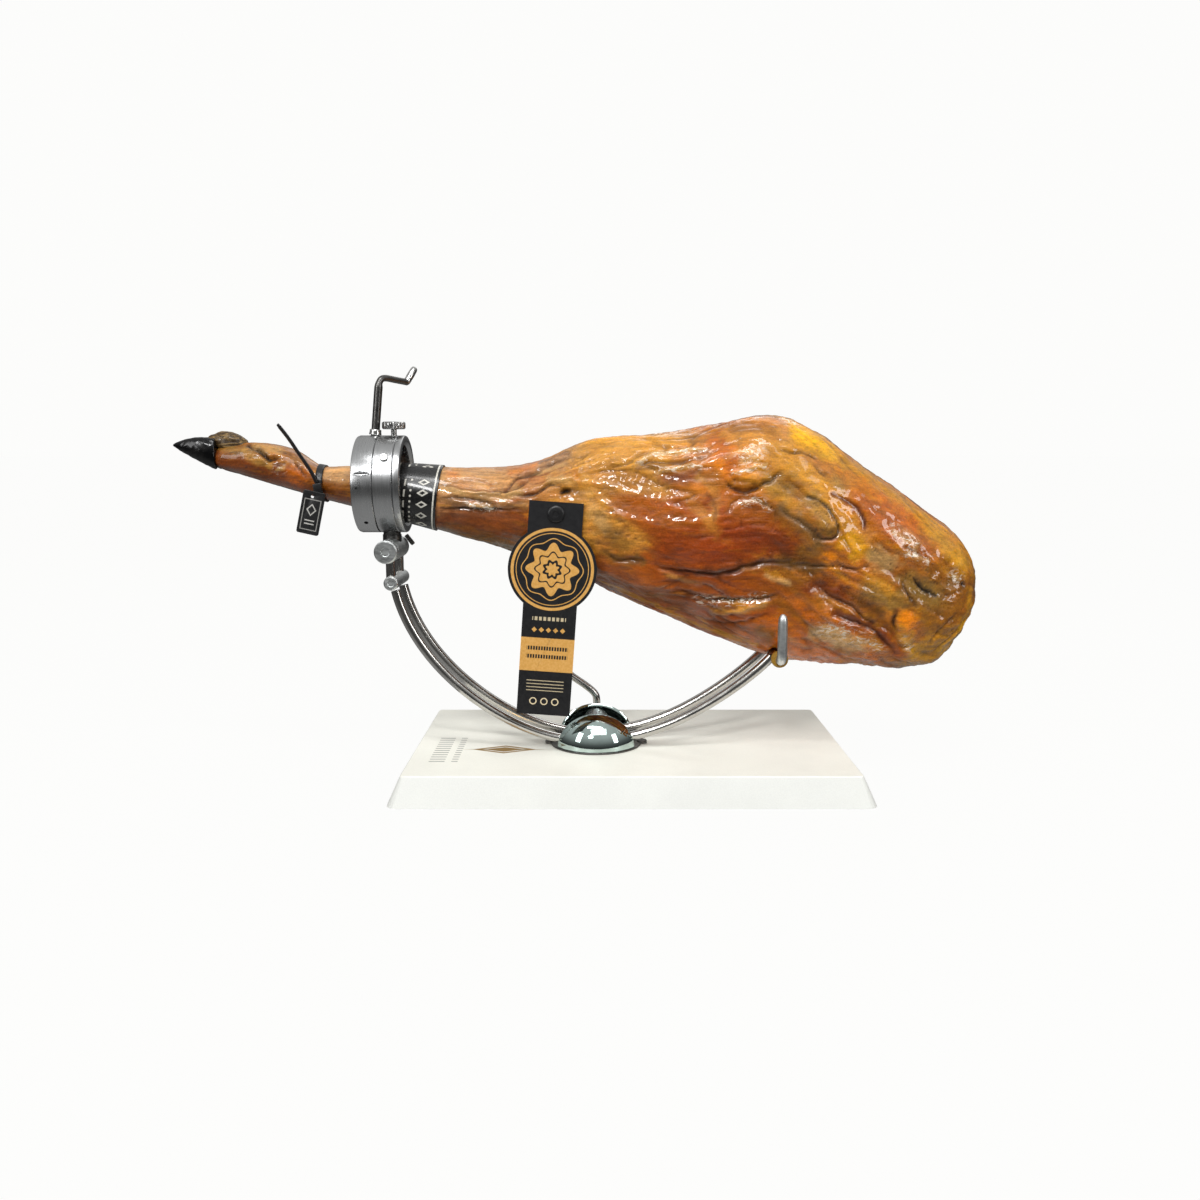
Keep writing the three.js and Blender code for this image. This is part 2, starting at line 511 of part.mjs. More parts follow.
function ham() {
  const marks = [...new Set([...HAM.map(([x]) => x), TIE.right])].sort((a, b) => a - b);
  const places = [marks[0]];
  for (let i = 1; i < marks.length; i++) {
    const steps = Math.ceil((marks[i] - marks[i - 1]) / RING_SPACING);
    for (let k = 1; k <= steps; k++) places.push(THREE.MathUtils.lerp(marks[i - 1], marks[i], k / steps));
  }
  for (const t of [0.18, 0.36, 0.53, 0.68, 0.81, 0.91, 0.975]) places.push(BUTT.from + t * BUTT.length);
  const rings = places.map((x) => aroundAngles.map((angle) => hamPoint(x, angle)));
  const rods = [-1, 1].map((side) => rod(armCurve(RIGHT_ARM, side, true), ROD.radius + 2 * GAP, 8, 16));
  piece('ham', carve(skin(rings), [cradleBar(2 * GAP), ...rods]), HAM_FLESH);
}

// One half of the cloven hoof: a flat claw that rises from its tip to the foot.
function claw(side) {
  const length = 46;
  const rings = [0.02, 0.1, 0.24, 0.45, 0.7, 0.92, 1].map((t) => {
    const x = -470 + length * t - GAP;
    const top = 345 + 12 * Math.sin(t * Math.PI * 0.5) ** 0.7 - 5 * t ** 3;
    const bottom = 345 - 27 * t ** 0.85;
    const thick = 8 * Math.min(1, (1.6 * t) ** 0.6);
    return Array.from({ length: 12 }, (_, i) => {
      const angle = (i / 12) * 2 * Math.PI;
      return new THREE.Vector3(x, side * 8.4 + thick * Math.cos(angle),
        (top + bottom) / 2 + ((top - bottom) / 2) * Math.sin(angle));
    });
  });
  return skin(rings);
}

// Cloven hoof and the dewclaws on top of the foot
function foot() {
  piece('hoof_front', claw(-1), HORN);
  piece('hoof_back', claw(1), HORN);
  const dew = new THREE.SphereGeometry(1, 12, 7).scale(19, 10, 8).rotateY(THREE.MathUtils.degToRad(17))
    .translate(-411, 0, 351);
  const rings = [-424, -416, -408, -402, -395, -385, -375].map((x) => aroundAngles.map((a) => hamPoint(x, a, 2 * GAP)));
  piece('dewclaw', carve(dew, [skin(rings)]), HORN_GREY);
}

// A band wrapped round the shank, with edges that may run slanted.
function band(left, right, slant, from, thick, steps) {
  const edge = (x, proud) => aroundAngles.map((angle) => {
    const spot = hamPoint(x, angle, proud);
    return hamPoint(x + slant * (spot.z - 295), angle, proud);
  });
  const outer = Array.from({ length: steps + 1 }, (_, i) => edge(left + ((right - left) * i) / steps, from + thick));
  const inner = Array.from({ length: steps + 1 }, (_, i) => edge(right - ((right - left) * i) / steps, from));
  return skin([...outer, ...inner], true);
}

// Label round the shank, cable tie with its loose end, and the seal tag that hangs on the tie
function labels() {
  piece('label_band', band(LABEL.left, LABEL.right, LABEL.slant, 2 * GAP, LABEL.thick, 2), BLACK_CARD);
  piece('tie_band', band(TIE.left, TIE.right, 0, GAP, TIE.thick, 1), BLACK_PLASTIC);
  const headX = (TIE.left + TIE.right) / 2;
  const tieFace = hamPoint(headX, Math.PI, GAP + TIE.thick).y;
  const headY = tieFace - GAP - TIE_HEAD.depth / 2;
  const tieHead = new THREE.BoxGeometry(TIE_HEAD.width, TIE_HEAD.depth, TIE_HEAD.height).rotateY(TIE_HEAD.turn);
  piece('tie_head', carve(tieHead, []), BLACK_PLASTIC, [headX, headY, TIE_HEAD.z]);
  const [w, t] = [TIE_TAIL.width / 2, TIE_TAIL.thick / 2];
  const strap = new THREE.Shape([[-w, -t], [w, -t], [w, t], [-w, t]].map(([x, y]) => new THREE.Vector2(x, y)));
  const bends = [[-1, 4.9], [-7, 17.5], [-17, 33], [-28, 50], [-38.5, 64]];
  const route = new THREE.CatmullRomCurve3(bends.map(([x, z]) => new THREE.Vector3(headX + x, headY, TIE_HEAD.z + z)));
  piece('tie_tail', new THREE.ExtrudeGeometry(strap, { steps: 12, extrudePath: route, bevelEnabled: false }),
    BLACK_PLASTIC);

  const { width, height, card, corner, lean } = SEAL;
  const corners = roundedRing(width, height, corner, 0, 3).map(({ x, y }) => new THREE.Vector2(x, y - height / 2));
  const seal = new THREE.ExtrudeGeometry(new THREE.Shape(corners), { depth: card, bevelEnabled: false })
    .rotateX(Math.PI / 2).rotateY(THREE.MathUtils.degToRad(lean));
  piece('seal_tag', seal, BLACK_PLASTIC, [SEAL.x, headY - TIE_HEAD.depth / 2 - GAP, SEAL.z]);
}

// Hang tag: a card with a holed tab, a disc and a long strip, pinned to the shank by a peg
function hangTag() {
  const { width, disc, discDrop, drop, card, lean } = TAG;
  const half = width / 2;
  const shoulder = Math.sqrt(disc ** 2 - half ** 2);
  const outline = new THREE.Shape();
  outline.moveTo(-half, 0);
  outline.lineTo(-half, -(discDrop - shoulder));
  const corner = Math.asin(half / disc);
  outline.absarc(0, -discDrop, disc, Math.PI / 2 + corner, (3 * Math.PI) / 2 - corner, false);
  outline.lineTo(-half, -drop);
  outline.lineTo(half, -drop);
  outline.lineTo(half, -(discDrop + shoulder));
  outline.absarc(0, -discDrop, disc, -Math.PI / 2 + corner, Math.PI / 2 - corner, false);
  outline.lineTo(half, 0);
  const hole = new THREE.Path();
  hole.absarc(0, -TAG_HOLE.drop, TAG_HOLE.radius, 0, 2 * Math.PI, true);
  outline.holes.push(hole);
  const group = new THREE.Group();
  group.position.set(TAG.x, TAG.y, TAG.z);
  group.rotation.y = THREE.MathUtils.degToRad(lean);
  middle.add(group);
  const card3d = new THREE.ExtrudeGeometry(outline, { depth: card, bevelEnabled: false, curveSegments: 14 });
  piece('hang_tag', card3d.rotateX(Math.PI / 2), BLACK_CARD, [0, card, 0], group);
  const hamCut = [-110, -95, -85, -78, -70, -60, -48].map((x) => aroundAngles.map((a) => hamPoint(x, a, GAP)));
  const toWorld = new THREE.Matrix4().makeRotationY(THREE.MathUtils.degToRad(lean)).setPosition(TAG.x, TAG.y, TAG.z);
  const head = -card - GAP;
  const peg = lathe([[0, head - PEG.headHeight], [PEG.head - 1.4, head - PEG.headHeight], [PEG.head, head - 0.8],
    [PEG.head, head], [PEG.radius, head], [PEG.radius, 30], [0, 30]], 14).rotateX(-Math.PI / 2)
    .translate(0, card, -TAG_HOLE.drop).applyMatrix4(toWorld);
  piece('tag_peg', carve(peg, [skin(hamCut)]), BLACK_PLASTIC);
}

// Pad under the tip of the crank's screw, lying on the shank
function screwPad() {
  const axis = THREE.MathUtils.degToRad(CRANK.tilt);
  const tipX = CRANK.x - (CRANK.z - PAD.top) * Math.tan(axis);
  const pad = bar(PAD.radius, PAD.top - PAD.height, PAD.top, 16).translate(tipX, 0, 0);
  const rings = [-290, -280, -272, -264, -256, -248, -240].map((x) => aroundAngles.map((a) => hamPoint(x, a, GAP)));
  piece('screw_pad', carve(pad, [skin(rings)]), STEEL);
}

basePlate();
hub();
lever();
arms();
head();
screwPad();
cradle();
ham();
foot();
labels();
hangTag();

export default whole;
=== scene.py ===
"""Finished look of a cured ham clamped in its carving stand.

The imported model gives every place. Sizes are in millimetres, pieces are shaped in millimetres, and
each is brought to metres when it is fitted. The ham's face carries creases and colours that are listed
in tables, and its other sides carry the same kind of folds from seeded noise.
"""
import logging
import math
from contextlib import contextmanager
from dataclasses import dataclass
from enum import Enum
from itertools import product
from typing import Any, Iterator, Sequence

import bmesh
import bpy
import numpy as np
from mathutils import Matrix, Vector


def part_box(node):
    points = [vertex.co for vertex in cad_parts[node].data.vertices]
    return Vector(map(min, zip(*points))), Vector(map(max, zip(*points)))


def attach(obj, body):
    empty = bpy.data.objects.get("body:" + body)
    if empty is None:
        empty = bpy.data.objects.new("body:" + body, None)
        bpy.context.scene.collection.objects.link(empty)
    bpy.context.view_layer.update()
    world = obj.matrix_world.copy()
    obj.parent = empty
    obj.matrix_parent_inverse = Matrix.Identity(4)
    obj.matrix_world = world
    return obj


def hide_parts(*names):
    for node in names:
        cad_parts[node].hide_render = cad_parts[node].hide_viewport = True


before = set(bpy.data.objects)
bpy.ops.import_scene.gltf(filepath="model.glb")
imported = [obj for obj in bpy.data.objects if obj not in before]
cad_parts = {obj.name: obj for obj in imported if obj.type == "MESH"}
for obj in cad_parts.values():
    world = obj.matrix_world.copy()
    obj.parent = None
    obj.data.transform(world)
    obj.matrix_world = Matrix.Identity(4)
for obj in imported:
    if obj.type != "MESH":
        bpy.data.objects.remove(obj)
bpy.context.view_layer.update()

Point = tuple[float, float, float]
Spot = tuple[float, float]              # radius and height of a profile, x and z of a side view, or a span
Screen = tuple[int, int, int]           # colour of a screen, from 0 to 255
Piece = bpy.types.Object

MM = 0.001
ORIGIN = (0.0, 0.0, 0.0)
STAND_Y = -14.0                         # middle plane of the arms, the head and the ham
PATH_STEPS = 5                          # steps from point to point of a crease or patch
SHANK_Z = 295.0                         # height at which the label's slant is measured
CRANK_FOOT = (-262.9, STAND_Y, 354.0)   # where the clamping screw enters the ring
CRANK_LEAN = math.radians(5.5)
THUMB_FOOT = (-243.5, 349.0)            # x and z of the thumbscrew's foot
SIDES = (("front", -1), ("back", 1))
log = logging.getLogger("ham_stand")


class Axis(Enum):
    """Direction of a turned piece, as the turn that brings +Z there."""

    X = (0.0, math.pi / 2, 0.0)
    Y = (-math.pi / 2, 0.0, 0.0)
    Z = (0.0, 0.0, 0.0)


class Tone(Enum):
    """Colours of the cured leg, as screen colours from 0 to 255; the black is painted shade for creases and
    holes, and the white is painted highlight.
    """

    AMBER = (200, 126, 18)
    BEIGE = (214, 168, 122)
    # painted shade, laid along the creases and in the holes of the face
    BLACK = (24, 15, 10)
    BONE = (204, 156, 78)
    BRIGHT = (246, 146, 0)
    CARAMEL = (156, 100, 26)
    COPPER = (162, 84, 14)
    CREAM = (214, 176, 124)
    FAT = (218, 156, 42)
    FAT_BRIGHT = (250, 190, 10)
    FAT_DEEP = (208, 152, 32)
    MAHOGANY = (150, 64, 6)
    MAROON = (116, 46, 12)
    MAUVE = (182, 118, 54)
    MOULD = (150, 120, 62)
    OCHRE = (218, 160, 72)
    OLIVE = (118, 88, 34)
    ORANGE = (208, 112, 10)
    PEACH = (188, 112, 32)
    PURPLE = (172, 140, 120)
    PURPLE_DARK = (104, 56, 32)
    ROSE = (190, 136, 100)
    RUSSET = (126, 64, 16)
    RUST = (172, 88, 14)
    SIENNA = (170, 88, 16)
    SLATE = (126, 98, 62)
    TEAL = (110, 88, 50)
    UMBER = (86, 50, 14)
    # painted highlight, laid where the wet glaze glints
    WHITE = (240, 216, 168)

    @property
    def linear(self) -> np.ndarray:
        """The colour as linear light from 0 to 1."""
        return linear(self.value)


def linear(screen: Sequence[float]) -> np.ndarray:
    """Turns a screen colour into linear light.

    Args:
        screen: Red, green and blue from 0 to 255.

    Returns:
        The three linear values from 0 to 1.
    """
    part = np.asarray(screen, dtype=float) / 255
    return np.where(part <= 0.04045, part / 12.92, ((part + 0.055) / 1.055) ** 2.4)


def rgba(screen: Sequence[float]) -> tuple[float, ...]:
    """A screen colour as the four numbers of a colour socket."""
    return (*(float(part) for part in linear(screen)), 1.0)


def rim(radius: float, low: float, high: float, cut: float) -> list[Spot]:
    """Outer profile of a disc from low to high with both edges broken."""
    return [(radius - cut, low), (radius, low + cut), (radius, high - cut), (radius - cut, high)]


class Bench:
    """The modelling operators, used as by hand."""

    @staticmethod
    def pick(piece: Piece) -> None:
        """Selects one piece alone and makes it active."""
        bpy.ops.object.select_all(action="DESELECT")
        piece.select_set(True)
        bpy.context.view_layer.objects.active = piece

    @staticmethod
    @contextmanager
    def edit(piece: Piece, action: str = "DESELECT") -> Iterator[bmesh.types.BMesh]:
        """Opens a piece in edit mode and closes it again.

        Args:
            piece: The mesh piece.
            action: SELECT to start with everything selected.

        Yields:
            Its edit mesh, for selecting by place.
        """
        Bench.pick(piece)
        bpy.ops.object.mode_set(mode="EDIT")
        bpy.ops.mesh.select_all(action=action)
        yield bmesh.from_edit_mesh(piece.data)
        bpy.ops.object.mode_set(mode="OBJECT")

    @staticmethod
    def clean(piece: Piece, distance: float = 0.002) -> None:
        """Merges doubled points and turns the faces outwards."""
        with Bench.edit(piece, "SELECT"):
            bpy.ops.mesh.remove_doubles(threshold=distance)
            bpy.ops.mesh.normals_make_consistent(inside=False)

    @staticmethod
    def start(add: Any, **sizes: Any) -> Piece:
        """Adds a primitive by its operator, with nothing else selected."""
        bpy.ops.object.select_all(action="DESELECT")
        add(**sizes)
        return bpy.context.object

    @staticmethod
    def points(piece: Piece) -> tuple[np.ndarray, np.ndarray]:
        """Places and normals of a mesh's points, one a row."""
        rows = []
        for name in ("co", "normal"):
            row = np.empty(len(piece.data.vertices) * 3)
            piece.data.vertices.foreach_get(name, row)
            rows.append(row.reshape(-1, 3))
        return rows[0], rows[1]

    @staticmethod
    def move(piece: Piece, places: np.ndarray) -> None:
        """Puts a mesh's points at new places, one a row."""
        piece.data.vertices.foreach_set("co", places.ravel())
        piece.data.update()

    @staticmethod
    def place(piece: Piece, at: Point = ORIGIN, turn: Point = ORIGIN) -> Piece:
        """Turns a piece about the origin, moves it and puts both into its mesh.

        Args:
            piece: The piece.
            at: Where the origin goes, in millimetres.
            turn: Turns about X, Y and Z in radians.

        Returns:
            The same piece.
        """
        piece.location = at
        piece.rotation_euler = turn
        Bench.pick(piece)
        bpy.ops.object.transform_apply(location=True, rotation=True, scale=True)
        return piece

    @staticmethod
    def apply(piece: Piece, kind: str, **settings: Any) -> Piece:
        """Adds a modifier with its settings and applies it.

        Args:
            piece: The piece.
            kind: The modifier's type.
            settings: Its properties.

        Returns:
            The same piece.
        """
        modifier = piece.modifiers.new(kind.lower(), kind)
        for name, value in settings.items():
            setattr(modifier, name, value)
        Bench.pick(piece)
        bpy.ops.object.modifier_apply(modifier=modifier.name)
        return piece

    @staticmethod
    def combine(piece: Piece, tool: Piece, operation: str = "DIFFERENCE") -> Piece:
        """Cuts a tool out of a piece, or joins it, and removes the tool."""
        Bench.apply(piece, "BOOLEAN", operation=operation, solver="EXACT", object=tool)
        bpy.data.objects.remove(tool, do_unlink=True)
        return piece

    @staticmethod
    def soften(piece: Piece, width: float, segments: int = 2, angle: float = 35.0) -> Piece:
        """Breaks the sharp edges of a piece."""
        return Bench.apply(piece, "BEVEL", width=width, segments=segments, limit_method="ANGLE",
                           angle_limit=math.radians(angle), use_clamp_overlap=True)

    @staticmethod
    def turned(profile: Sequence[Spot], axis: Axis = Axis.Z, at: Point = ORIGIN, sides: int = 96,
               closed: bool = False, capped: bool = True) -> Piece:
        """Turns a body on the lathe: a circle drawn out ring by ring along a profile.

        Args:
            profile: Radius and height of each ring.
            axis: Direction of the heights.
            at: Place of height zero.
            sides: Sides of each ring.
            closed: Whether the profile runs back to its first ring, as a tube's does.
            capped: Whether the two ends are filled.

        Returns:
            The turned piece.
        """
        radius, height = profile[0]
        piece = Bench.start(bpy.ops.mesh.primitive_circle_add, vertices=sides, radius=radius)
        with Bench.edit(piece, "SELECT"):
            bpy.ops.transform.translate(value=(0, 0, height))
            if capped and not closed:
                bpy.ops.mesh.edge_face_add()
            for wide, high in list(profile[1:]) + ([profile[0]] if closed else []):
                bpy.ops.mesh.extrude_region_move(TRANSFORM_OT_translate={"value": (0, 0, high - height)})
                scale = wide / radius
                bpy.ops.transform.resize(value=(scale, scale, 1), center_override=(0, 0, 0))
                radius, height = wide, high
        Bench.clean(piece)
        return Bench.place(piece, at, axis.value)

    @staticmethod
    def bar(radius: float, low: float, high: float, chamfer: float = 0.5, axis: Axis = Axis.Z,
            at: Point = ORIGIN, sides: int = 64) -> Piece:
        """A straight round bar with broken ends."""
        return Bench.turned(rim(radius, low, high, chamfer), axis, at, sides)

    @staticmethod
    def tube(inner: float, outer: float, low: float, high: float, chamfer: float = 0.5, axis: Axis = Axis.Z,
             at: Point = ORIGIN, sides: int = 96) -> Piece:
        """A ring or tube with broken outer edges."""
        profile = [(inner, low), *rim(outer, low, high, chamfer), (inner, high)]
        return Bench.turned(profile, axis, at, sides, closed=True)

    @staticmethod
    def rod(route: Sequence[Point], radii: Sequence[float], resolution: int = 10) -> Piece:
        """A round rod along a route, with its own radius at every point.

        Args:
            route: Points that the rod's middle follows.
            radii: Radius at each point.
            resolution: Bevel resolution; the rod has four sides more than twice this.

        Returns:
            The rod as a mesh.
        """
        piece = Bench.start(bpy.ops.curve.primitive_bezier_curve_add)
        data = piece.data
        data.splines.clear()
        spline = data.splines.new("POLY")
        spline.points.add(len(route) - 1)
        for knot, place, radius in zip(spline.points, route, radii):
            knot.co = (*place, 1.0)
            knot.radius = radius
        data.dimensions = "3D"
        data.bevel_depth = 1.0
        data.bevel_resolution = resolution
        data.use_fill_caps = True
        Bench.pick(piece)
        bpy.ops.object.convert(target="MESH")
        piece = bpy.context.object
        Bench.clean(piece)
        return piece

    @staticmethod
    def block(size: Point, at: Point = ORIGIN) -> Piece:
        """A box of a size, about a place, to be shaped further."""
        piece = Bench.start(bpy.ops.mesh.primitive_cube_add, size=1)
        piece.scale = size
        return Bench.place(piece, at)

    @staticmethod
    def copy_of(node: str) -> Piece:
        """A merged copy of a CAD node's mesh, in millimetres."""
        piece = bpy.data.objects.new("copy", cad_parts[node].data.copy())
        bpy.context.collection.objects.link(piece)
        piece.data.materials.clear()
        piece.scale = (1 / MM,) * 3
        Bench.place(piece)
        Bench.clean(piece, 0.01)
        return piece

    @staticmethod
    def dress(node: str, material: bpy.types.Material) -> None:
        """Gives a solid its finish and keeps its shape."""
        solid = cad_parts[node]
        solid.data.materials.clear()
        solid.data.materials.append(material)
        log.info("%s: dressed as it is", node)

    @staticmethod
    def fit(piece: Piece, node: str, material: bpy.types.Material, body: str = "arms", smooth: float = 38.0,
            others: Sequence[str] = ()) -> Piece:
        """Brings a finished piece to metres, dresses it and lets it stand for its CAD node.

        Args:
            piece: The piece in millimetres.
            node: The CAD node that it stands for.
            material: Its finish.
            body: The body that it rides on.
            smooth: Angle in degrees below which edges are shaded smooth.
            others: More nodes that it stands for.

        Returns:
            The same piece.
        """
        piece.scale = (MM,) * 3
        Bench.place(piece)
        piece.name = piece.data.name = f"dressed_{node}"
        piece.data.materials.clear()
        piece.data.materials.append(material)
        Bench.pick(piece)
        bpy.ops.object.shade_smooth_by_angle(angle=math.radians(smooth))
        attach(piece, body)
        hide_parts(node, *others)
        log.info("%s: %d faces on %s", piece.name, len(piece.data.polygons), body)
        return piece


def arc_route(points: Sequence[Sequence[float]], steps: int) -> np.ndarray:
    """A smooth curve through points.

    Args:
        points: The points, in two or three dimensions.
        steps: Steps between one point and the next.

    Returns:
        The points of the curve, one a row.
    """
    knots = np.asarray(points, dtype=float)
    padded = np.vstack([2 * knots[0] - knots[1], knots, 2 * knots[-1] - knots[-2]])
    rows = []
    for before, start, end, after in zip(padded, padded[1:], padded[2:], padded[3:]):
        for t in np.arange(steps) / steps:
            square = 2 * before - 5 * start + 4 * end - after
            cube = 3 * start - before - 3 * end + after
            rows.append(0.5 * (2 * start + (end - before) * t + square * t ** 2 + cube * t ** 3))
    return np.array([*rows, knots[-1]])


def bezier(a: Spot, b: Spot, c: Spot, d: Spot, t: np.ndarray) -> np.ndarray:
    """Points of a cubic curve with four controls, one a row for each share t of its way."""
    share = t[:, None]
    return ((1 - share) ** 3 * np.array(a) + 3 * (1 - share) ** 2 * share * np.array(b)
            + 3 * (1 - share) * share ** 2 * np.array(c) + share ** 3 * np.array(d))


class Kind(Enum):
    """What a shader socket carries."""

    NUMBER = "number"
    VECTOR = "vector"
    COLOUR = "colour"


class Value:
    """A shader socket that takes Python's arithmetic."""

    def __init__(self, graph: "Graph", socket: bpy.types.NodeSocket, kind: Kind = Kind.NUMBER) -> None:
        """Wraps an output socket of a graph."""
        self.graph = graph
        self.socket = socket
        self.kind = kind

    def __add__(self, other: Any) -> "Value":
        """Sum."""
        return self.graph.combine("ADD", self, other)

    def __radd__(self, other: Any) -> "Value":
        """Sum with a plain number on the left."""
        return self.graph.combine("ADD", other, self)

    def __sub__(self, other: Any) -> "Value":
        """Difference."""
        return self.graph.combine("SUBTRACT", self, other)

    def __rsub__(self, other: Any) -> "Value":
        """Difference from a plain number."""
        return self.graph.combine("SUBTRACT", other, self)

    def __mul__(self, other: Any) -> "Value":
        """Product."""
        return self.graph.combine("MULTIPLY", self, other)

    def __rmul__(self, other: Any) -> "Value":
        """Product with a plain number on the left."""
        return self.graph.combine("MULTIPLY", other, self)

    def __truediv__(self, other: float) -> "Value":
        """Quotient by a plain number."""
        return self.graph.combine("MULTIPLY", self, 1 / other)

    def __abs__(self) -> "Value":
        """Size without its sign."""
        return self.graph.math("ABSOLUTE", self)

    def repeated(self, half: float) -> "Value":
        """The number wrapped into a span that is twice a half wide, so that a pattern repeats."""
        return self.graph.math("WRAP", self, half, -half)

    def above(self, edge: float, soft: float) -> "Value":
        """One where the number is over an edge, zero under it, with a soft step between."""
        return self.graph.step(self, edge - soft, edge + soft)

    def below(self, edge: float, soft: float) -> "Value":
        """One where the number is under an edge, zero over it, with a soft step between."""
        return self.graph.step(self, edge + soft, edge - soft)


class Graph:
    """The node graph of a material, or of the world, under construction."""

    def __init__(self, name: str, world: bool = False) -> None:
        """Starts an empty material of a name, or an empty world."""
        self.owner = (bpy.data.worlds if world else bpy.data.materials).new(name)
        self.owner.use_nodes = True
        self.tree = self.owner.node_tree
        self.tree.nodes.clear()

    def node(self, kind: str, settings: dict[str, Any], inputs: dict[Any, Any]) -> bpy.types.Node:
        """Adds a node.

        Args:
            kind: The node's type.
            settings: Its properties, set first; stops are the stops of a ramp.
            inputs: Values or links of its sockets, by name or number.

        Returns:
            The new node.
        """
        node = self.tree.nodes.new(kind)
        for name, value in settings.items():
            if name == "stops":
                ramp = node.color_ramp
                while len(ramp.elements) < len(value):
                    ramp.elements.new(0.5)
                for element, (position, colour) in zip(ramp.elements, value):
                    element.position = position
                    element.color = colour
            else:
                setattr(node, name, value)
        for key, value in inputs.items():
            if isinstance(value, Value):
                self.tree.links.new(value.socket, node.inputs[key])
            else:
                node.inputs[key].default_value = value
        return node

    def math(self, operation: str, *values: Any) -> Value:
        """A Math node on numbers."""
        node = self.node("ShaderNodeMath", {"operation": operation}, dict(enumerate(values)))
        return Value(self, node.outputs[0])

    def combine(self, operation: str, left: Any, right: Any) -> Value:
        """Adds, subtracts or multiplies two values of any kind.

        Args:
            operation: ADD, SUBTRACT or MULTIPLY.
            left: A value, or a plain number or row of numbers.
            right: The same.

        Returns:
            The result, a colour or a vector where either side is one.
        """
        kinds = {side.kind for side in (left, right) if isinstance(side, Value)}
        if Kind.COLOUR in kinds:
            spread = [self._spread(side, 4) for side in (left, right)]
            node = self.node("ShaderNodeMix", {"data_type": "RGBA", "blend_type": operation},
                             {0: 1.0, 6: spread[0], 7: spread[1]})
            return Value(self, node.outputs[2], Kind.COLOUR)
        if Kind.VECTOR in kinds:
            spread = [self._spread(side, 3) for side in (left, right)]
            node = self.node("ShaderNodeVectorMath", {"operation": operation}, dict(enumerate(spread)))
            return Value(self, node.outputs[0], Kind.VECTOR)
        return self.math(operation, left, right)

    @staticmethod
    def _spread(side: Any, count: int) -> Any:
        """Repeats a plain number over all parts of a colour or vector."""
        return (float(side),) * count if isinstance(side, (int, float)) else side

    def step(self, value: Value, start: float, end: float, low: float = 0.0, high: float = 1.0) -> Value:
        """A soft step from low at start to high at end."""
        node = self.node("ShaderNodeMapRange", {"interpolation_type": "SMOOTHSTEP"},
                         {"Value": value, "From Min": start, "From Max": end, "To Min": low, "To Max": high})
        return Value(self, node.outputs[0])

    def mix(self, share: Any, first: Any, second: Any) -> Value:
        """A colour between two, by a share from 0 to 1."""
        node = self.node("ShaderNodeMix", {"data_type": "RGBA"}, {0: share, 6: first, 7: second})
        return Value(self, node.outputs[2], Kind.COLOUR)

    def place(self) -> Value:
        """Place on the object, in millimetres."""
        node = self.node("ShaderNodeTexCoord", {}, {})
        return Value(self, node.outputs["Object"], Kind.VECTOR) * (1 / MM)

    def either(self, *masks: Value) -> Value:
        """The greatest of some masks."""
        most = masks[0]
        for mask in masks[1:]:
            most = self.math("MAXIMUM", most, mask)
        return most

    def length(self, across: Value, up: Value) -> Value:
        """Length of a flat vector."""
        return self.math("SQRT", across * across + up * up)

    def card_place(self, place: Value, origin: Point, lean: float) -> tuple[Value, Value]:
        """Place on a card that hangs from an origin and leans: across it and down it."""
        node = self.node("ShaderNodeMapping", {}, {"Vector": place - origin, "Rotation": (0.0, -lean, 0.0)})
        across, _, up = self.parts(Value(self, node.outputs[0], Kind.VECTOR))
        return across, up * -1

    def parts(self, vector: Value) -> tuple[Value, Value, Value]:
        """The three numbers of a vector."""
        node = self.node("ShaderNodeSeparateXYZ", {}, {"Vector": vector})
        x, y, z = (Value(self, socket) for socket in node.outputs)
        return x, y, z

    def noise(self, vector: Value, scale: Any, detail: float = 3.0, rough: float = 0.55,
              bend: float = 0.0) -> Value:
        """Cloudy noise from 0 to 1.

        Args:
            vector: Place in millimetres.
            scale: Features in a millimetre, one number or one for each direction.
            detail: Finer layers.
            rough: Strength of the finer layers.
            bend: Distortion.

        Returns:
            The noise.
        """
        stretched = vector * scale if isinstance(scale, (tuple, Value)) else vector
        size = 1.0 if isinstance(scale, (tuple, Value)) else scale
        node = self.node("ShaderNodeTexNoise", {}, {"Vector": stretched, "Scale": size, "Detail": detail,
                                                    "Roughness": rough, "Distortion": bend})
        return Value(self, node.outputs[0])

    def cells(self, vector: Value, scale: float, feature: str = "F1") -> Value:
        """Distance in a cell pattern with a number of cells in a millimetre."""
        node = self.node("ShaderNodeTexVoronoi", {"feature": feature}, {"Vector": vector, "Scale": scale})
        return Value(self, node.outputs["Distance"])

    def attribute(self, name: str, colour: bool = False) -> Value:
        """A number or colour kept in the mesh."""
        node = self.node("ShaderNodeAttribute", {"attribute_name": name}, {})
        socket = node.outputs["Color" if colour else "Fac"]
        return Value(self, socket, Kind.COLOUR if colour else Kind.NUMBER)

    def bump(self, height: Value, distance: float, strength: float = 1.0) -> Value:
        """A normal roughened by a height of some millimetres."""
        inputs = {"Strength": strength, "Distance": distance * MM, "Height": height}
        return Value(self, self.node("ShaderNodeBump", {}, inputs).outputs[0], Kind.VECTOR)

    def finish(self, inputs: dict[str, Any]) -> bpy.types.Material:
        """Closes the graph with a Principled shader.

        Args:
            inputs: Values or links of the shader's sockets.

        Returns:
            The material.
        """
        shader = self.node("ShaderNodeBsdfPrincipled", {}, inputs)
        self.node("ShaderNodeOutputMaterial", {}, {"Surface": Value(self, shader.outputs[0])})
        return self.owner


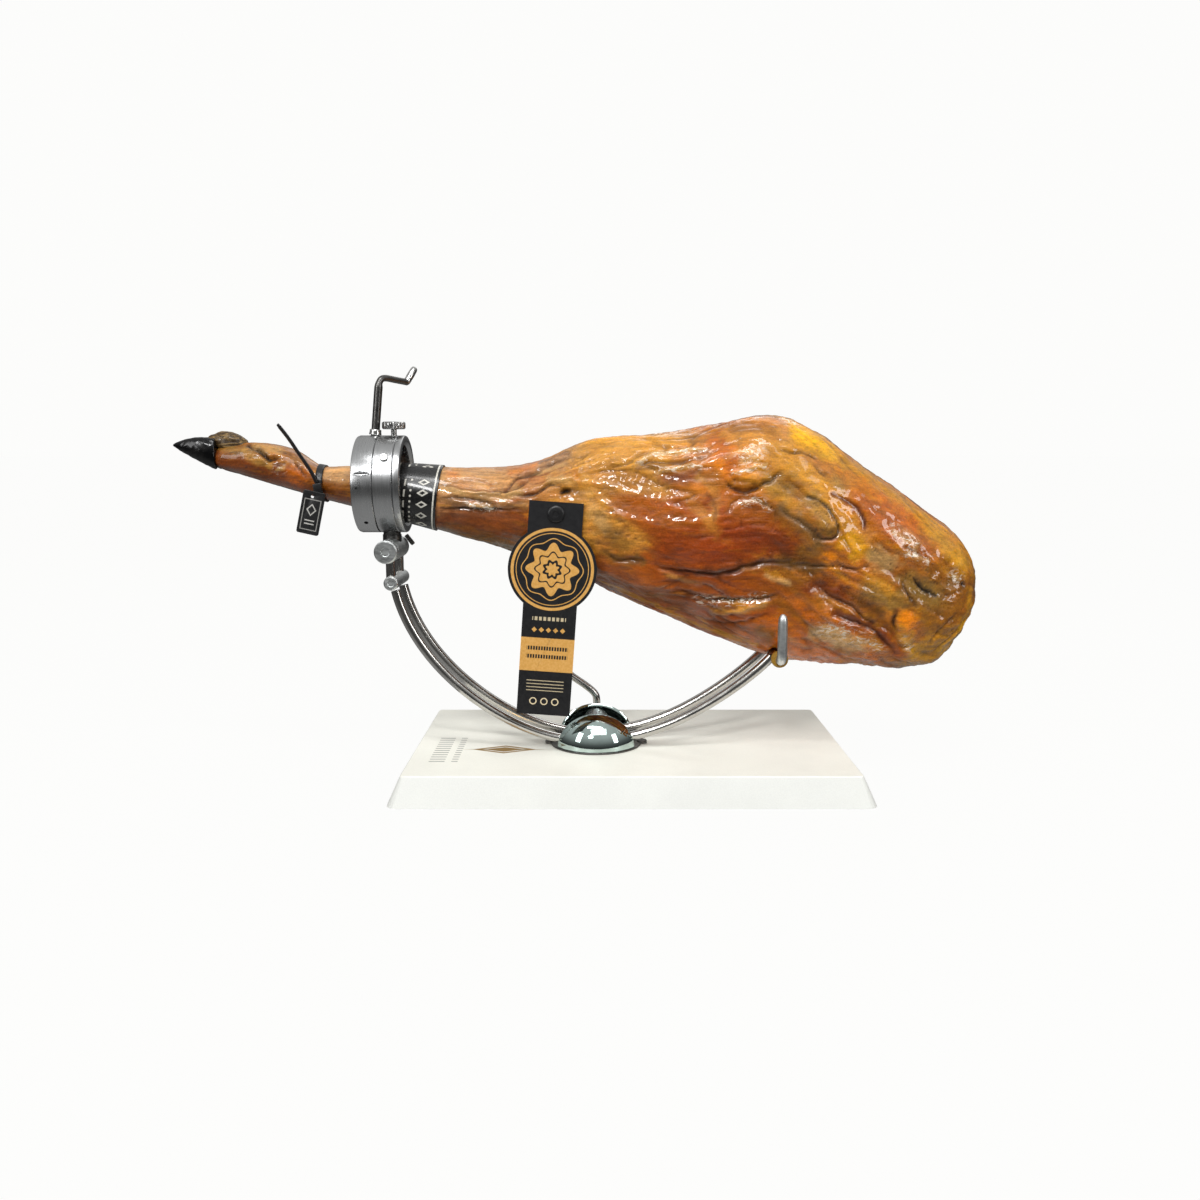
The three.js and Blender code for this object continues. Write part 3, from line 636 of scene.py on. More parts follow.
@dataclass(frozen=True)
class CuredMeat:
    """Oily dried meat and fat, coloured by what the mesh keeps, with white glints painted in where the glaze
    shines.
    """

    gloss: float = 0.34
    streaks: Point = (0.035, 0.22, 0.22)

    def build(self) -> bpy.types.Material:
        """Makes the material of the leg."""
        graph = Graph("cured_meat")
        place = graph.place()
        tone = graph.attribute("tone", colour=True)
        wet = graph.attribute("wet")
        streak = graph.noise(place, self.streaks, 5, 0.6, 0.4)
        grain = graph.noise(place, 0.55, 4, 0.6)
        cloud = graph.noise(place, 0.07, 4, 0.55)
        beads = graph.attribute("beads")
        shaded = tone * graph.step(streak, 0.32, 0.68, 0.76, 1.14)
        mottled = shaded * graph.step(grain, 0.3, 0.7, 0.84, 1.10)
        warm = graph.mix(graph.step(cloud, 0.42, 0.66, 0.0, 0.34), mottled, mottled * (1.10, 0.90, 0.62, 1.0))
        warm = warm * (1.02, 0.93, 0.70, 1.0)
        bloom = graph.step(streak, 0.60, 0.74) * graph.step(grain, 0.48, 0.62) * 0.14
        colour = graph.mix(bloom, warm, rgba(Tone.CREAM.value))
        ragged = graph.noise(place, (0.12, 0.26, 0.26), 4, 0.65, 0.9)
        # painted highlights: white glints mixed into the colour where the glaze shines
        colour = graph.mix(graph.step(ragged, 0.52, 0.60) * beads * 0.75, colour, (0.94, 0.84, 0.68, 1.0))
        dull = graph.step(grain, 0.3, 0.7, -0.05, 0.10)
        height = streak * 0.8 + grain * 0.5 + graph.noise(place, 1.6, 2, 0.5) * 0.16
        return graph.finish({
            "Base Color": colour,
            "Roughness": dull + (self.gloss + 0.16) - wet * 0.24 - beads * 0.06,
            "Coat Weight": graph.step(wet, 0.22, 0.85, 0.08, 1.0),
            "Coat Roughness": 0.06,
            "Coat IOR": 1.5,
            "Specular IOR Level": 0.22,
            "Subsurface Weight": 0.07,
            "Subsurface Radius": (1.0, 0.45, 0.2),
            "Subsurface Scale": 0.004,
            "Normal": graph.bump(height, 1.0, 1.0),
        })


@dataclass(frozen=True)
class Horn:
    """Glossy black hoof horn, or dry grey-brown horn."""

    name: str
    dark: Screen
    light: Screen
    rough: float
    relief: float
    scale: Point
    cracked: float

    def build(self) -> bpy.types.Material:
        """Makes the horn."""
        graph = Graph(self.name)
        place = graph.place()
        ring = graph.noise(place, self.scale, 3, 0.5, 0.6)
        crack = graph.step(graph.cells(place, 0.16, "DISTANCE_TO_EDGE"), 0.0, 0.1)
        colour = graph.mix(graph.step(ring, 0.42, 0.72), rgba(self.dark), rgba(self.light))
        colour = colour * (crack * (0.5 * self.cracked) + (1.0 - 0.5 * self.cracked))
        height = ring * 0.8 + crack * (0.5 * self.cracked)
        return graph.finish({
            "Base Color": colour,
            "Roughness": graph.step(ring, 0.3, 0.7, self.rough, self.rough + 0.12),
            "Coat Weight": graph.step(ring, 0.35, 0.65, 0.4 - 0.7 * self.rough, 0.1),
            "Coat Roughness": 0.12,
            "Specular IOR Level": 0.3,
            "Normal": graph.bump(height, self.relief, 0.9),
        })


@dataclass(frozen=True)
class Steel:
    """Steel with brushing along a direction: features in a millimetre along X, Y and Z."""

    name: str
    colour: Screen
    rough: float
    brushing: Point = (0.5, 0.5, 0.5)
    relief: float = 0.01
    smudge: float = 0.08

    def build(self) -> bpy.types.Material:
        """Makes the steel."""
        graph = Graph(self.name)
        place = graph.place()
        lines = graph.noise(place, self.brushing, 3, 0.6)
        cloud = graph.noise(place, 0.06, 3, 0.5)
        low = tuple(0.78 * part for part in rgba(self.colour)[:3]) + (1.0,)
        return graph.finish({
            "Base Color": graph.mix(graph.step(lines, 0.3, 0.7, 0.4, 1.0), low, rgba(self.colour)),
            "Metallic": 1.0,
            "Roughness": graph.step(lines, 0.3, 0.7, 0.0, self.smudge) + graph.step(
                cloud, 0.35, 0.7, self.rough, self.rough + self.smudge),
            "Normal": graph.bump(lines, self.relief, 0.6),
        })


@dataclass(frozen=True)
class Quartz:
    """Pale satin stone of the plate, with painted shade that makes its sides a little darker than its top,
    and a plain gilt lozenge and grey dashes near its left edge.
    """

    top: Screen = (242, 241, 231)
    side: Screen = (229, 230, 225)
    gilt: Screen = (188, 148, 80)
    dash: Screen = (92, 92, 88)

    def build(self) -> bpy.types.Material:
        """Makes the stone and its print."""
        graph = Graph("quartz")
        place = graph.place()
        x, y, z = graph.parts(place)
        speck = graph.noise(place, 0.9, 2, 0.5)
        cloud = graph.noise(place, 0.012, 4, 0.6)
        # painted shade: the sides take a greyer copy of the top's colour, though the stone is the same all
        # over
        stone = graph.mix(z.below(27.6, 0.3), rgba(self.top), rgba(self.side))
        stone = stone * graph.step(speck, 0.3, 0.7, 0.975, 1.02) * graph.step(cloud, 0.35, 0.7, 0.965, 1.02)
        flat = z.above(28.2, 0.1)
        across, along = abs(x + 131), abs(y + 40)
        lozenge = (across / 34 + along / 15).below(1.0, 0.03)
        inner = (across / 26 + along / 10.5).below(1.0, 0.03)
        core = (across / 22 + along / 8.4).below(1.0, 0.03)
        bar = (across / 46 + along / 2.2).below(1.0, 0.1)
        gilt = graph.either(lozenge - inner + core, bar) * flat
        rows = abs((y + 60).repeated(4.0)).below(1.1, 0.3)
        dashes = abs(x + 196).below(8.0, 0.4) + abs(x + 178).below(3.2, 0.4)
        dashes = dashes * rows * abs(y + 40).below(46.0, 0.4)
        colour = graph.mix(gilt, stone, rgba(self.gilt))
        colour = graph.mix(dashes * flat * 0.8, colour, rgba(self.dash))
        return graph.finish({
            "Base Color": colour,
            "Metallic": gilt * 0.8,
            "Roughness": graph.step(cloud, 0.3, 0.7, 0.42, 0.54) - gilt * 0.14,
            "Normal": graph.bump(speck, 0.05, 0.25),
        })


@dataclass(frozen=True)
class Plastic:
    """Moulded plastic or rubber with a fine pebble."""

    name: str
    colour: Screen
    rough: float
    pebble: float = 0.6

    def build(self) -> bpy.types.Material:
        """Makes the plastic."""
        graph = Graph(self.name)
        place = graph.place()
        grain = graph.noise(place, self.pebble, 3, 0.6)
        cloud = graph.noise(place, 0.08, 3, 0.5)
        light = tuple(1.7 * part + 0.004 for part in rgba(self.colour)[:3]) + (1.0,)
        return graph.finish({
            "Base Color": graph.mix(graph.step(cloud, 0.4, 0.75, 0.0, 0.6), rgba(self.colour), light),
            "Roughness": graph.step(grain, 0.3, 0.7, self.rough, self.rough + 0.14),
            "Normal": graph.bump(grain, 0.06, 0.5),
        })


@dataclass(frozen=True)
class PrintedCard:
    """Black card of the hang tag: a ringed disc with a rosette, stars, a gilt band and faint lines."""

    origin: Point
    lean: float
    disc_drop: float
    card: Screen = (22, 22, 24)
    gold: Screen = (214, 158, 78)
    cream: Screen = (226, 208, 170)

    def build(self) -> bpy.types.Material:
        """Makes the card and its print."""
        graph = Graph("printed_card")
        place = graph.place()
        across, down = graph.card_place(place, self.origin, self.lean)
        rise = self.disc_drop - down
        reach = graph.length(across, rise)
        angle = graph.math("ARCTAN2", rise, across)
        petal = graph.math("COSINE", angle * 8)
        ring = abs(reach - 40.4).below(1.5, 0.25)
        thin = abs(reach - 36.4).below(0.4, 0.2)
        flower = (reach - petal * 3.6).below(23.5, 0.3)
        gap = abs(reach - petal * 2.0 - 15.6).below(0.8, 0.25)
        heart = abs(reach - petal * -1.2 - 7.6).below(1.5, 0.25)
        crown = abs(reach - 29.6 - petal * 1.6).below(0.5, 0.2)
        slot = across.repeated(3.6)
        star = (abs(slot) + abs(down - 130)).below(2.7, 0.3) * abs(across).below(18.0, 0.1)
        band = abs(down - 155.5).below(17.2, 0.25)
        words = abs(across.repeated(1.35)).below(0.9, 0.15) * abs(across).below(21.0, 0.1)
        lines = (abs(down - 149).below(2.0, 0.2) + abs(down - 157.5).below(2.0, 0.2)) * words
        faint = abs((down - 186).repeated(1.7)).below(0.4, 0.2) * abs(down - 188).below(7.0, 0.1)
        faint = faint * abs(across).below(19.0, 0.3)
        dashes = abs(down - 118.5).below(1.9, 0.2) * abs(across.repeated(2.2)).below(1.4, 0.2)
        dashes = dashes * abs(across).below(17.0, 0.1)
        badge = graph.length(across.repeated(5.6), down - 204)
        badges = abs(badge - 3.2).below(0.55, 0.2) * abs(across).below(16.6, 0.1)
        gold = graph.either(ring, thin, flower - gap - heart, crown, star, band - lines)
        pale = graph.either(faint * 0.75, dashes * 0.8, badges)
        fibre = graph.noise(place, 0.5, 3, 0.6)
        foil = graph.mix(graph.step(fibre, 0.3, 0.7), rgba(self.gold), rgba((226, 174, 98)))
        colour = graph.mix(gold, rgba(self.card), foil)
        colour = graph.mix(pale, colour, rgba(self.cream))
        return graph.finish({
            "Base Color": colour,
            "Roughness": graph.step(fibre, 0.3, 0.7, 0.36, 0.5) - gold * 0.05,
            "Coat Weight": 0.12,
            "Coat Roughness": 0.3,
            "Normal": graph.bump(fibre + gold * 0.5, 0.03, 0.5),
        })


@dataclass(frozen=True)
class LabelPrint:
    """Black glossy label wound round the shank, with plain white marks and edge lines."""

    right: float = -196.0
    left: float = -243.0
    slant: float = 0.13
    middle: float = 297.0

    def build(self) -> bpy.types.Material:
        """Makes the label and its marks."""
        graph = Graph("label_print")
        place = graph.place()
        x, y, z = graph.parts(place)
        along = x - (z - SHANK_Z) * self.slant
        turn = graph.math("ARCTAN2", z - self.middle, (y - STAND_Y) * -1) * 27
        edge = (abs(along - (self.right - 3.4)).below(0.8, 0.15)
                + abs(along - (self.left + 3.0)).below(0.6, 0.15))
        slot = abs(turn.repeated(5.2))
        lozenge = slot * 1.7 + abs(along - (self.right - 15)) * 0.9
        bead = graph.length((turn + 2.6).repeated(2.6), along - (self.right - 27.5)).below(1.1, 0.2)
        dash = abs(along - (self.right - 34)).below(0.9, 0.2) * slot.below(3.4, 0.2)
        marks = graph.either(lozenge.below(5.6, 0.3) - lozenge.below(2.9, 0.3), bead, dash)
        marks = graph.either(marks * abs((turn + 20).repeated(42.0)).below(34.0, 0.3), edge)
        wear = graph.noise(place, 0.4, 3, 0.6)
        return graph.finish({
            "Base Color": graph.mix(marks * graph.step(wear, 0.3, 0.45, 0.5, 0.9), rgba((20, 20, 21)),
                                    rgba((222, 219, 208))),
            "Roughness": graph.step(wear, 0.3, 0.7, 0.24, 0.4),
            "Coat Weight": 0.4,
            "Coat Roughness": 0.12,
            "Normal": graph.bump(wear, 0.15, 0.5),
        })


@dataclass(frozen=True)
class SealPrint:
    """Black plastic seal with a thin pale outline and a small diamond."""

    origin: Point
    lean: float

    def build(self) -> bpy.types.Material:
        """Makes the seal."""
        graph = Graph("seal_print")
        place = graph.place()
        across, down = graph.card_place(place, self.origin, self.lean)
        tall, wide = abs(down - 24) - 15.5, abs(across) - 8.2
        frame_edge = abs(graph.either(tall, wide)).below(0.45, 0.15)
        diamond = abs(abs(across) + abs(down - 19) * 0.8 - 4.4).below(0.7, 0.15)
        dashes = abs(down - 30).below(0.6, 0.15) + abs(down - 33.5).below(0.6, 0.15)
        dashes = dashes * abs(across).below(5.0, 0.2)
        marks = graph.either(frame_edge * 0.6, diamond, dashes)
        grain = graph.noise(place, 0.7, 3, 0.6)
        return graph.finish({
            "Base Color": graph.mix(marks * 0.85, rgba((24, 24, 25)), rgba((196, 194, 188))),
            "Roughness": graph.step(grain, 0.3, 0.7, 0.3, 0.45),
            "Normal": graph.bump(grain, 0.08, 0.5),
        })


@dataclass
class Finishes:
    """Every finish of the stand, each made once."""

    def __post_init__(self) -> None:
        """Makes the materials."""
        self.meat = CuredMeat().build()
        self.horn = Horn("black_horn", (6, 6, 7), (20, 19, 18), 0.12, 0.25, (0.06, 0.10, 0.12), 0.0).build()
        self.dry_horn = Horn("dry_horn", (58, 42, 22), (146, 118, 72), 0.36, 0.9, (0.09, 0.4, 0.5),
                             0.2).build()
        self.quartz = Quartz().build()
        self.chrome = Steel("chrome", (196, 214, 210), 0.03, (0.05, 0.05, 0.05), 0.001, 0.02).build()
        self.rod = Steel("polished_rod", (200, 198, 194), 0.15, (0.04, 0.1, 0.06), 0.001, 0.04).build()
        self.brushed = Steel("brushed_ring", (182, 183, 184), 0.23, (3.0, 0.04, 0.04), 0.001, 0.05).build()
        self.turned_steel = Steel("turned_steel", (196, 196, 194), 0.14, (0.6, 0.15, 0.15), 0.003,
                                  0.08).build()
        self.satin = Steel("satin_steel", (220, 223, 222), 0.30, (0.2, 0.2, 0.5), 0.002, 0.08).build()
        self.dark = Steel("dark_steel", (104, 103, 101), 0.24, (0.3, 0.3, 0.6), 0.006, 0.1).build()
        self.amber = Plastic("amber_rubber", (150, 112, 36), 0.3, 0.5).build()
        self.black = Plastic("black_plastic", (22, 22, 23), 0.28, 0.8).build()


@dataclass
class Hub:
    """Flange with two ears, two dome shells with a slot between them, and the axle."""

    x: float = -35.0
    flange_floor: float = 28.8
    flange_height: float = 1.6
    flange_radius: float = 48.5
    flange_bore: float = 36.0
    ear_radius: float = 5.5
    ear_reach: float = 49.0
    ear_height: float = 3.6
    dome_radius: float = 47.0
    dome_floor: float = 30.7
    dome_rise: float = 41.3
    dome_rings: int = 30
    wall: float = 3.0
    slot_half: float = 24.5
    axle_z: float = 47.0
    axle_radius: float = 5.0
    axle_reach: Spot = (-36.0, 47.1)

    def build(self, finishes: Finishes) -> None:
        """Builds the hub on the plate."""
        self._flange(finishes)
        for node, side in (("hub_shell_front", -1), ("hub_shell_back", 1)):
            self._shell(finishes, node, side)
        axle = Bench.bar(self.axle_radius, *self.axle_reach, 0.8, Axis.Y, (self.x, STAND_Y, self.axle_z))
        Bench.fit(axle, "hub_axle", finishes.turned_steel, "base")

    def _flange(self, finishes: Finishes) -> None:
        """Turned flange with its two ears and their screws' slots."""
        top = self.flange_floor + self.flange_height
        flange = Bench.tube(self.flange_bore, self.flange_radius, self.flange_floor, top, 0.4,
                            at=(self.x, STAND_Y, 0), sides=128)
        for side in (-1, 1):
            place = (self.x + side * self.ear_reach, STAND_Y, 0)
            head = self.flange_floor + self.ear_height
            ear = Bench.turned([(self.ear_radius, self.flange_floor), (self.ear_radius, head - 1.2),
                                (self.ear_radius - 1.0, head - 0.2), (self.ear_radius - 2.0, head)],
                               at=place, sides=40)
            Bench.combine(flange, ear, "UNION")
            Bench.combine(flange, Bench.block((1.0, 7.0, 1.2), (place[0], place[1], head)))
        Bench.fit(flange, "hub_flange", finishes.dark, "base")

    def _shell(self, finishes: Finishes, node: str, side: int) -> None:
        """One dome shell, cut off at the slot and given its wall."""
        arc = [math.radians(89.0) * step / self.dome_rings for step in range(self.dome_rings + 1)]
        profile = [(self.dome_radius * math.cos(turn), self.dome_floor + self.dome_rise * math.sin(turn))
                   for turn in arc]
        shell = Bench.turned(profile, sides=160, capped=False)
        with Bench.edit(shell, "SELECT"):
            bpy.ops.mesh.bisect(plane_co=(0, side * self.slot_half, 0), plane_no=(0, -side, 0),
                                clear_outer=True)
        Bench.apply(shell, "SOLIDIFY", thickness=self.wall, offset=-1.0, use_even_offset=True)
        Bench.soften(shell, 0.5, 3, 50)
        Bench.place(shell, (self.x, STAND_Y, 0))
        if side > 0:
            bore = Bench.bar(self.axle_radius + 0.3, 0, 60, 0.1, Axis.Y, (self.x, STAND_Y, self.axle_z))
            Bench.combine(shell, bore)
        Bench.fit(shell, node, finishes.chrome, "base")


@dataclass
class Lever:
    """Locking lever behind the hub: boss, bent rod and ball knob."""

    x: float = -35.0
    y: float = STAND_Y + 52.6
    z: float = 47.0
    boss: float = 8.0
    boss_half: float = 5.0
    rod: float = 4.0
    knob: float = 8.0
    bends: tuple[Spot, ...] = ((0, 2), (0.5, 16), (-2, 24), (-12, 33), (-27, 43.5), (-66, 73))

    def build(self, finishes: Finishes) -> None:
        """Builds the lever and its knob."""
        route = [(self.x + x, self.y, self.z + z) for x, z in arc_route(self.bends, 8)]
        arm = Bench.rod(route, [self.rod] * len(route))
        boss = Bench.bar(self.boss, -self.boss_half, self.boss_half, 0.9, Axis.Y, (self.x, self.y, self.z))
        Bench.combine(boss, arm, "UNION")
        Bench.fit(boss, "lever", finishes.rod, "lever")
        low, high = (np.array(corner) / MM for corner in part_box("lever_knob"))
        middle = (low + high) / 2
        start = np.array(route[-1])
        lean = math.atan2(middle[0] - start[0], middle[2] - start[2])
        rings = [math.radians(turn) for turn in (-60, -50, -35, -20, 0, 20, 40, 55, 70, 82)]
        size = self.knob - 0.1
        ball = [(size * math.cos(turn), size * math.sin(turn)) for turn in rings]
        knob = Bench.turned(ball + [(0.0, size)], sides=48)
        Bench.place(knob, ORIGIN, (0, lean, 0))
        Bench.place(knob, tuple(middle))
        Bench.fit(knob, "lever_knob", finishes.black, "lever", 60)


@dataclass
class Arms:
    """Four curved rods, two posts, the drum in the hub and the cross tube."""

    rod: float = 5.0
    hub_spread: float = 18.0
    end_spread: float = 23.0
    hub: Spot = (-35.0, 47.0)
    drum_radius: float = 14.5
    drum_bore: float = 5.6
    drum_half: float = 22.5
    tube: Spot = (-244.5, 205.0)
    tube_radius: float = 7.4
    tube_half: float = 35.0
    post_x: float = -246.0
    clamp_z: float = 237.5
    cradle: Spot = (150.5, 131.0)
    left: tuple[Spot, ...] = ((-245.5, 233), (-247.5, 108), (-95.5, 24.5), (-41, 38.5))
    right: tuple[Spot, ...] = ((-29, 38.5), (45, 35), (135, 110.5), (148, 128))
    steps: int = 90

    def build(self, finishes: Finishes) -> None:
        """Builds the rods, welded a little into what carries them."""
        for name, side in SIDES:
            left = self._route(self.left, side, self.tube, self.tube_radius - 1.5,
                               lambda spot: spot[1] < self.tube[1])
            Bench.fit(Bench.rod(left, [self.rod] * len(left)), f"arm_left_{name}", finishes.rod)
            right = self._route(self.right, side, self.cradle, 4.0, lambda spot: spot[0] < self.cradle[0])
            Bench.fit(Bench.rod(right, [self.rod] * len(right)), f"arm_right_{name}", finishes.rod)
            post = Bench.bar(self.rod, self.tube[1] + 4, self.clamp_z - 9, 0.4,
                             at=(self.post_x, STAND_Y + side * self.end_spread, 0), sides=48)
            Bench.fit(post, f"post_{name}", finishes.rod)
        drum = Bench.tube(self.drum_bore, self.drum_radius, -self.drum_half, self.drum_half, 1.0, Axis.Y,
                          (self.hub[0], STAND_Y, self.hub[1]))
        Bench.fit(drum, "hub_drum", finishes.brushed)
        half = self.tube_half
        tube = Bench.turned([(3.0, 1.2 - half), (3.6, -half), *rim(self.tube_radius, -half, half, 1.4),
                             (3.6, half), (3.0, half - 1.2)], Axis.Y,
                            (self.tube[0], STAND_Y, self.tube[1]), 72)
        Bench.fit(tube, "cross_tube", finishes.satin)

    def _route(self, curve: Sequence[Spot], side: int, end: Spot, end_radius: float,
               inside: Any) -> list[Point]:
        """Points of one rod, splayed from the hub, between the drum and its far end.

        Args:
            curve: The four controls of its side view.
            side: -1 in front, 1 behind.
            end: Middle of the piece at its far end.
            end_radius: How near the rod comes to that middle.
            inside: Test of a spot that lies on the hub's side of that piece.

        Returns:
            The points, in millimetres.
        """
        t = np.linspace(0, 1, self.steps)
        away = t if curve is self.right else 1 - t
        points = []
        for spot, share in zip(bezier(*curve, t), away):
            clear = math.dist(spot, self.hub) > self.drum_radius - 1.5 and math.dist(spot, end) > end_radius
            if clear and inside(spot):
                spread = self.hub_spread + (self.end_spread - self.hub_spread) * share
                points.append((float(spot[0]), STAND_Y + side * spread, float(spot[1])))
        return points


@dataclass
class Head:
    """Clamp barrel, neck, fixed ring, turning ring with its lip, and their screws."""

    clamp: Point = (-248.0, STAND_Y, 237.5)
    clamp_radius: float = 11.9
    clamp_half: float = 40.0
    collar_step: float = 2.0
    collar_length: float = 8.0
    bolt_radius: float = 2.4
    bolt_turn: float = math.radians(142.4)
    neck_radius: float = 9.7
    ring_z: float = 305.0
    radius: float = 50.0
    bore: float = 40.5
    sleeve: float = 43.4
    bearing_bore: float = 43.9
    left: float = -279.8
    seam: float = -257.8
    lip: float = -237.9
    right: float = -230.8
    gap: float = 0.3
    groove: float = 0.7
    sides: int = 160
    stem: float = 3.6
    screw_x: float = -246.5
    screw_turn: float = math.radians(56.5)
    pocket: Point = (8.0, 2.4, 2.6)
    pocket_turn: float = 0.24
    dowels: tuple[Point, ...] = ((2.2, 0.86, 12.0), (1.1, 0.05, 6.5))
    crank_bore: float = 5.2

    def build(self, finishes: Finishes) -> None:
        """Builds the head from the barrel up."""
        self._clamp(finishes)
        self._rings(finishes)
        screw = Bench.turned([(4.2, 50.3), (4.2, 51.1), (3.7, 51.7)], Axis.Z, sides=40)
        Bench.combine(screw, Bench.bar(2.2, 51.0, 53, 0.1, sides=6))
        Bench.place(screw, (self.screw_x, STAND_Y, self.ring_z), (self.screw_turn, 0, 0))
        Bench.fit(screw, "ring_screw", finishes.turned_steel)

    def _clamp(self, finishes: Finishes) -> None:
        """Barrel with its stepped end and grooves, the small bolt and the neck."""
        half, wide, thin = self.clamp_half, self.clamp_radius, self.clamp_radius - self.collar_step
        step = half - self.collar_length
        barrel = Bench.turned([(4.0, 1.0 - half), (4.6, -half), (wide - 1.4, -half), (wide, 1.4 - half),
                               (wide, -30.4), (wide - 0.6, -29.8), (wide, -29.2), (wide, step - 1),
                               (thin, step), (thin, half - 0.8), (thin - 0.8, half)], Axis.Y, self.clamp, 96)
        Bench.fit(barrel, "head_clamp", finishes.satin)
        away = wide + self.gap + self.bolt_radius
        radius = self.bolt_radius
        bolt = Bench.turned([(radius - 0.5, -4.2), (radius, -3.7), (radius, 7.2), (radius - 0.5, 8.6),
                             (1.2, 8.6), (1.2, 7.4)], sides=40)
        place = (self.clamp[0] - away * math.cos(self.bolt_turn), STAND_Y + 30,
                 self.clamp[2] + away * math.sin(self.bolt_turn))
        Bench.place(bolt, place, (0, self.bolt_turn, 0))
        Bench.fit(bolt, "clamp_bolt", finishes.dark)
        top = self.ring_z - self.radius
        neck = Bench.turned([(self.neck_radius, self.clamp[2] + 8), (self.neck_radius, top - 2.4),
                             (self.neck_radius - 0.7, top - 1.8), (self.neck_radius - 0.7, top + 1.4)],
                            at=(self.clamp[0], STAND_Y, 0), sides=72)
        Bench.fit(neck, "neck", finishes.dark)

    def _rings(self, finishes: Finishes) -> None:
        """Fixed ring between the two parts of the turning ring, with grooved seams."""
        place = (0, STAND_Y, self.ring_z)
        outer, groove, gap = self.radius, self.groove, self.gap
        start, end = self.seam, self.lip - gap
        bearing = Bench.tube(self.bearing_bore, outer, start, end, groove, Axis.X, place, self.sides)
        stem = Bench.bar(self.stem, self.ring_z + 30, self.ring_z + 60, 0.1, at=(THUMB_FOOT[0], STAND_Y, 0))
        Bench.fit(Bench.combine(bearing, stem), "bearing_ring", finishes.brushed)
        face, flange = self.left, self.seam - gap
        rotor = Bench.turned([(self.bore, face + 1.2), (self.bore + 1.2, face), (outer - 2.5, face),
                              (outer - 0.8, face + 0.6), (outer, face + 2.5), (outer, flange - groove),
                              (outer - groove, flange), (self.sleeve, flange), (self.sleeve, end),
                              (self.bore, end)], Axis.X, place, self.sides, closed=True)
        pocket = Bench.start(bpy.ops.mesh.primitive_uv_sphere_add, segments=48, ring_count=24, radius=1)
        pocket.scale = self.pocket
        across, up = outer * math.cos(self.pocket_turn), outer * math.sin(self.pocket_turn)
        Bench.place(pocket, (face + 12, STAND_Y - across, self.ring_z + up))
        Bench.combine(rotor, pocket)
        for radius, angle, shift in self.dowels:
            dowel = Bench.bar(radius, outer - 6, outer + 6, 0.1)
            Bench.place(dowel, (face + shift, STAND_Y, self.ring_z), (math.pi / 2 + angle, 0, 0))
            Bench.combine(rotor, dowel)
        bore = Bench.bar(self.crank_bore, -40, 20, 0.1)
        Bench.place(bore, CRANK_FOOT, (0, CRANK_LEAN, 0))
        Bench.combine(rotor, bore)
        Bench.fit(rotor, "rotor_ring", finishes.brushed)
        lip = Bench.turned([(self.bore, self.lip), (outer - groove, self.lip), (outer, self.lip + groove),
                            (outer, self.right - 1.6), (outer - 0.5, self.right - 0.5),
                            (outer - 1.6, self.right), (self.bore + 3, self.right),
                            (self.bore, self.right - 3)], Axis.X, place, self.sides, closed=True)
        Bench.fit(lip, "rotor_lip", finishes.brushed)


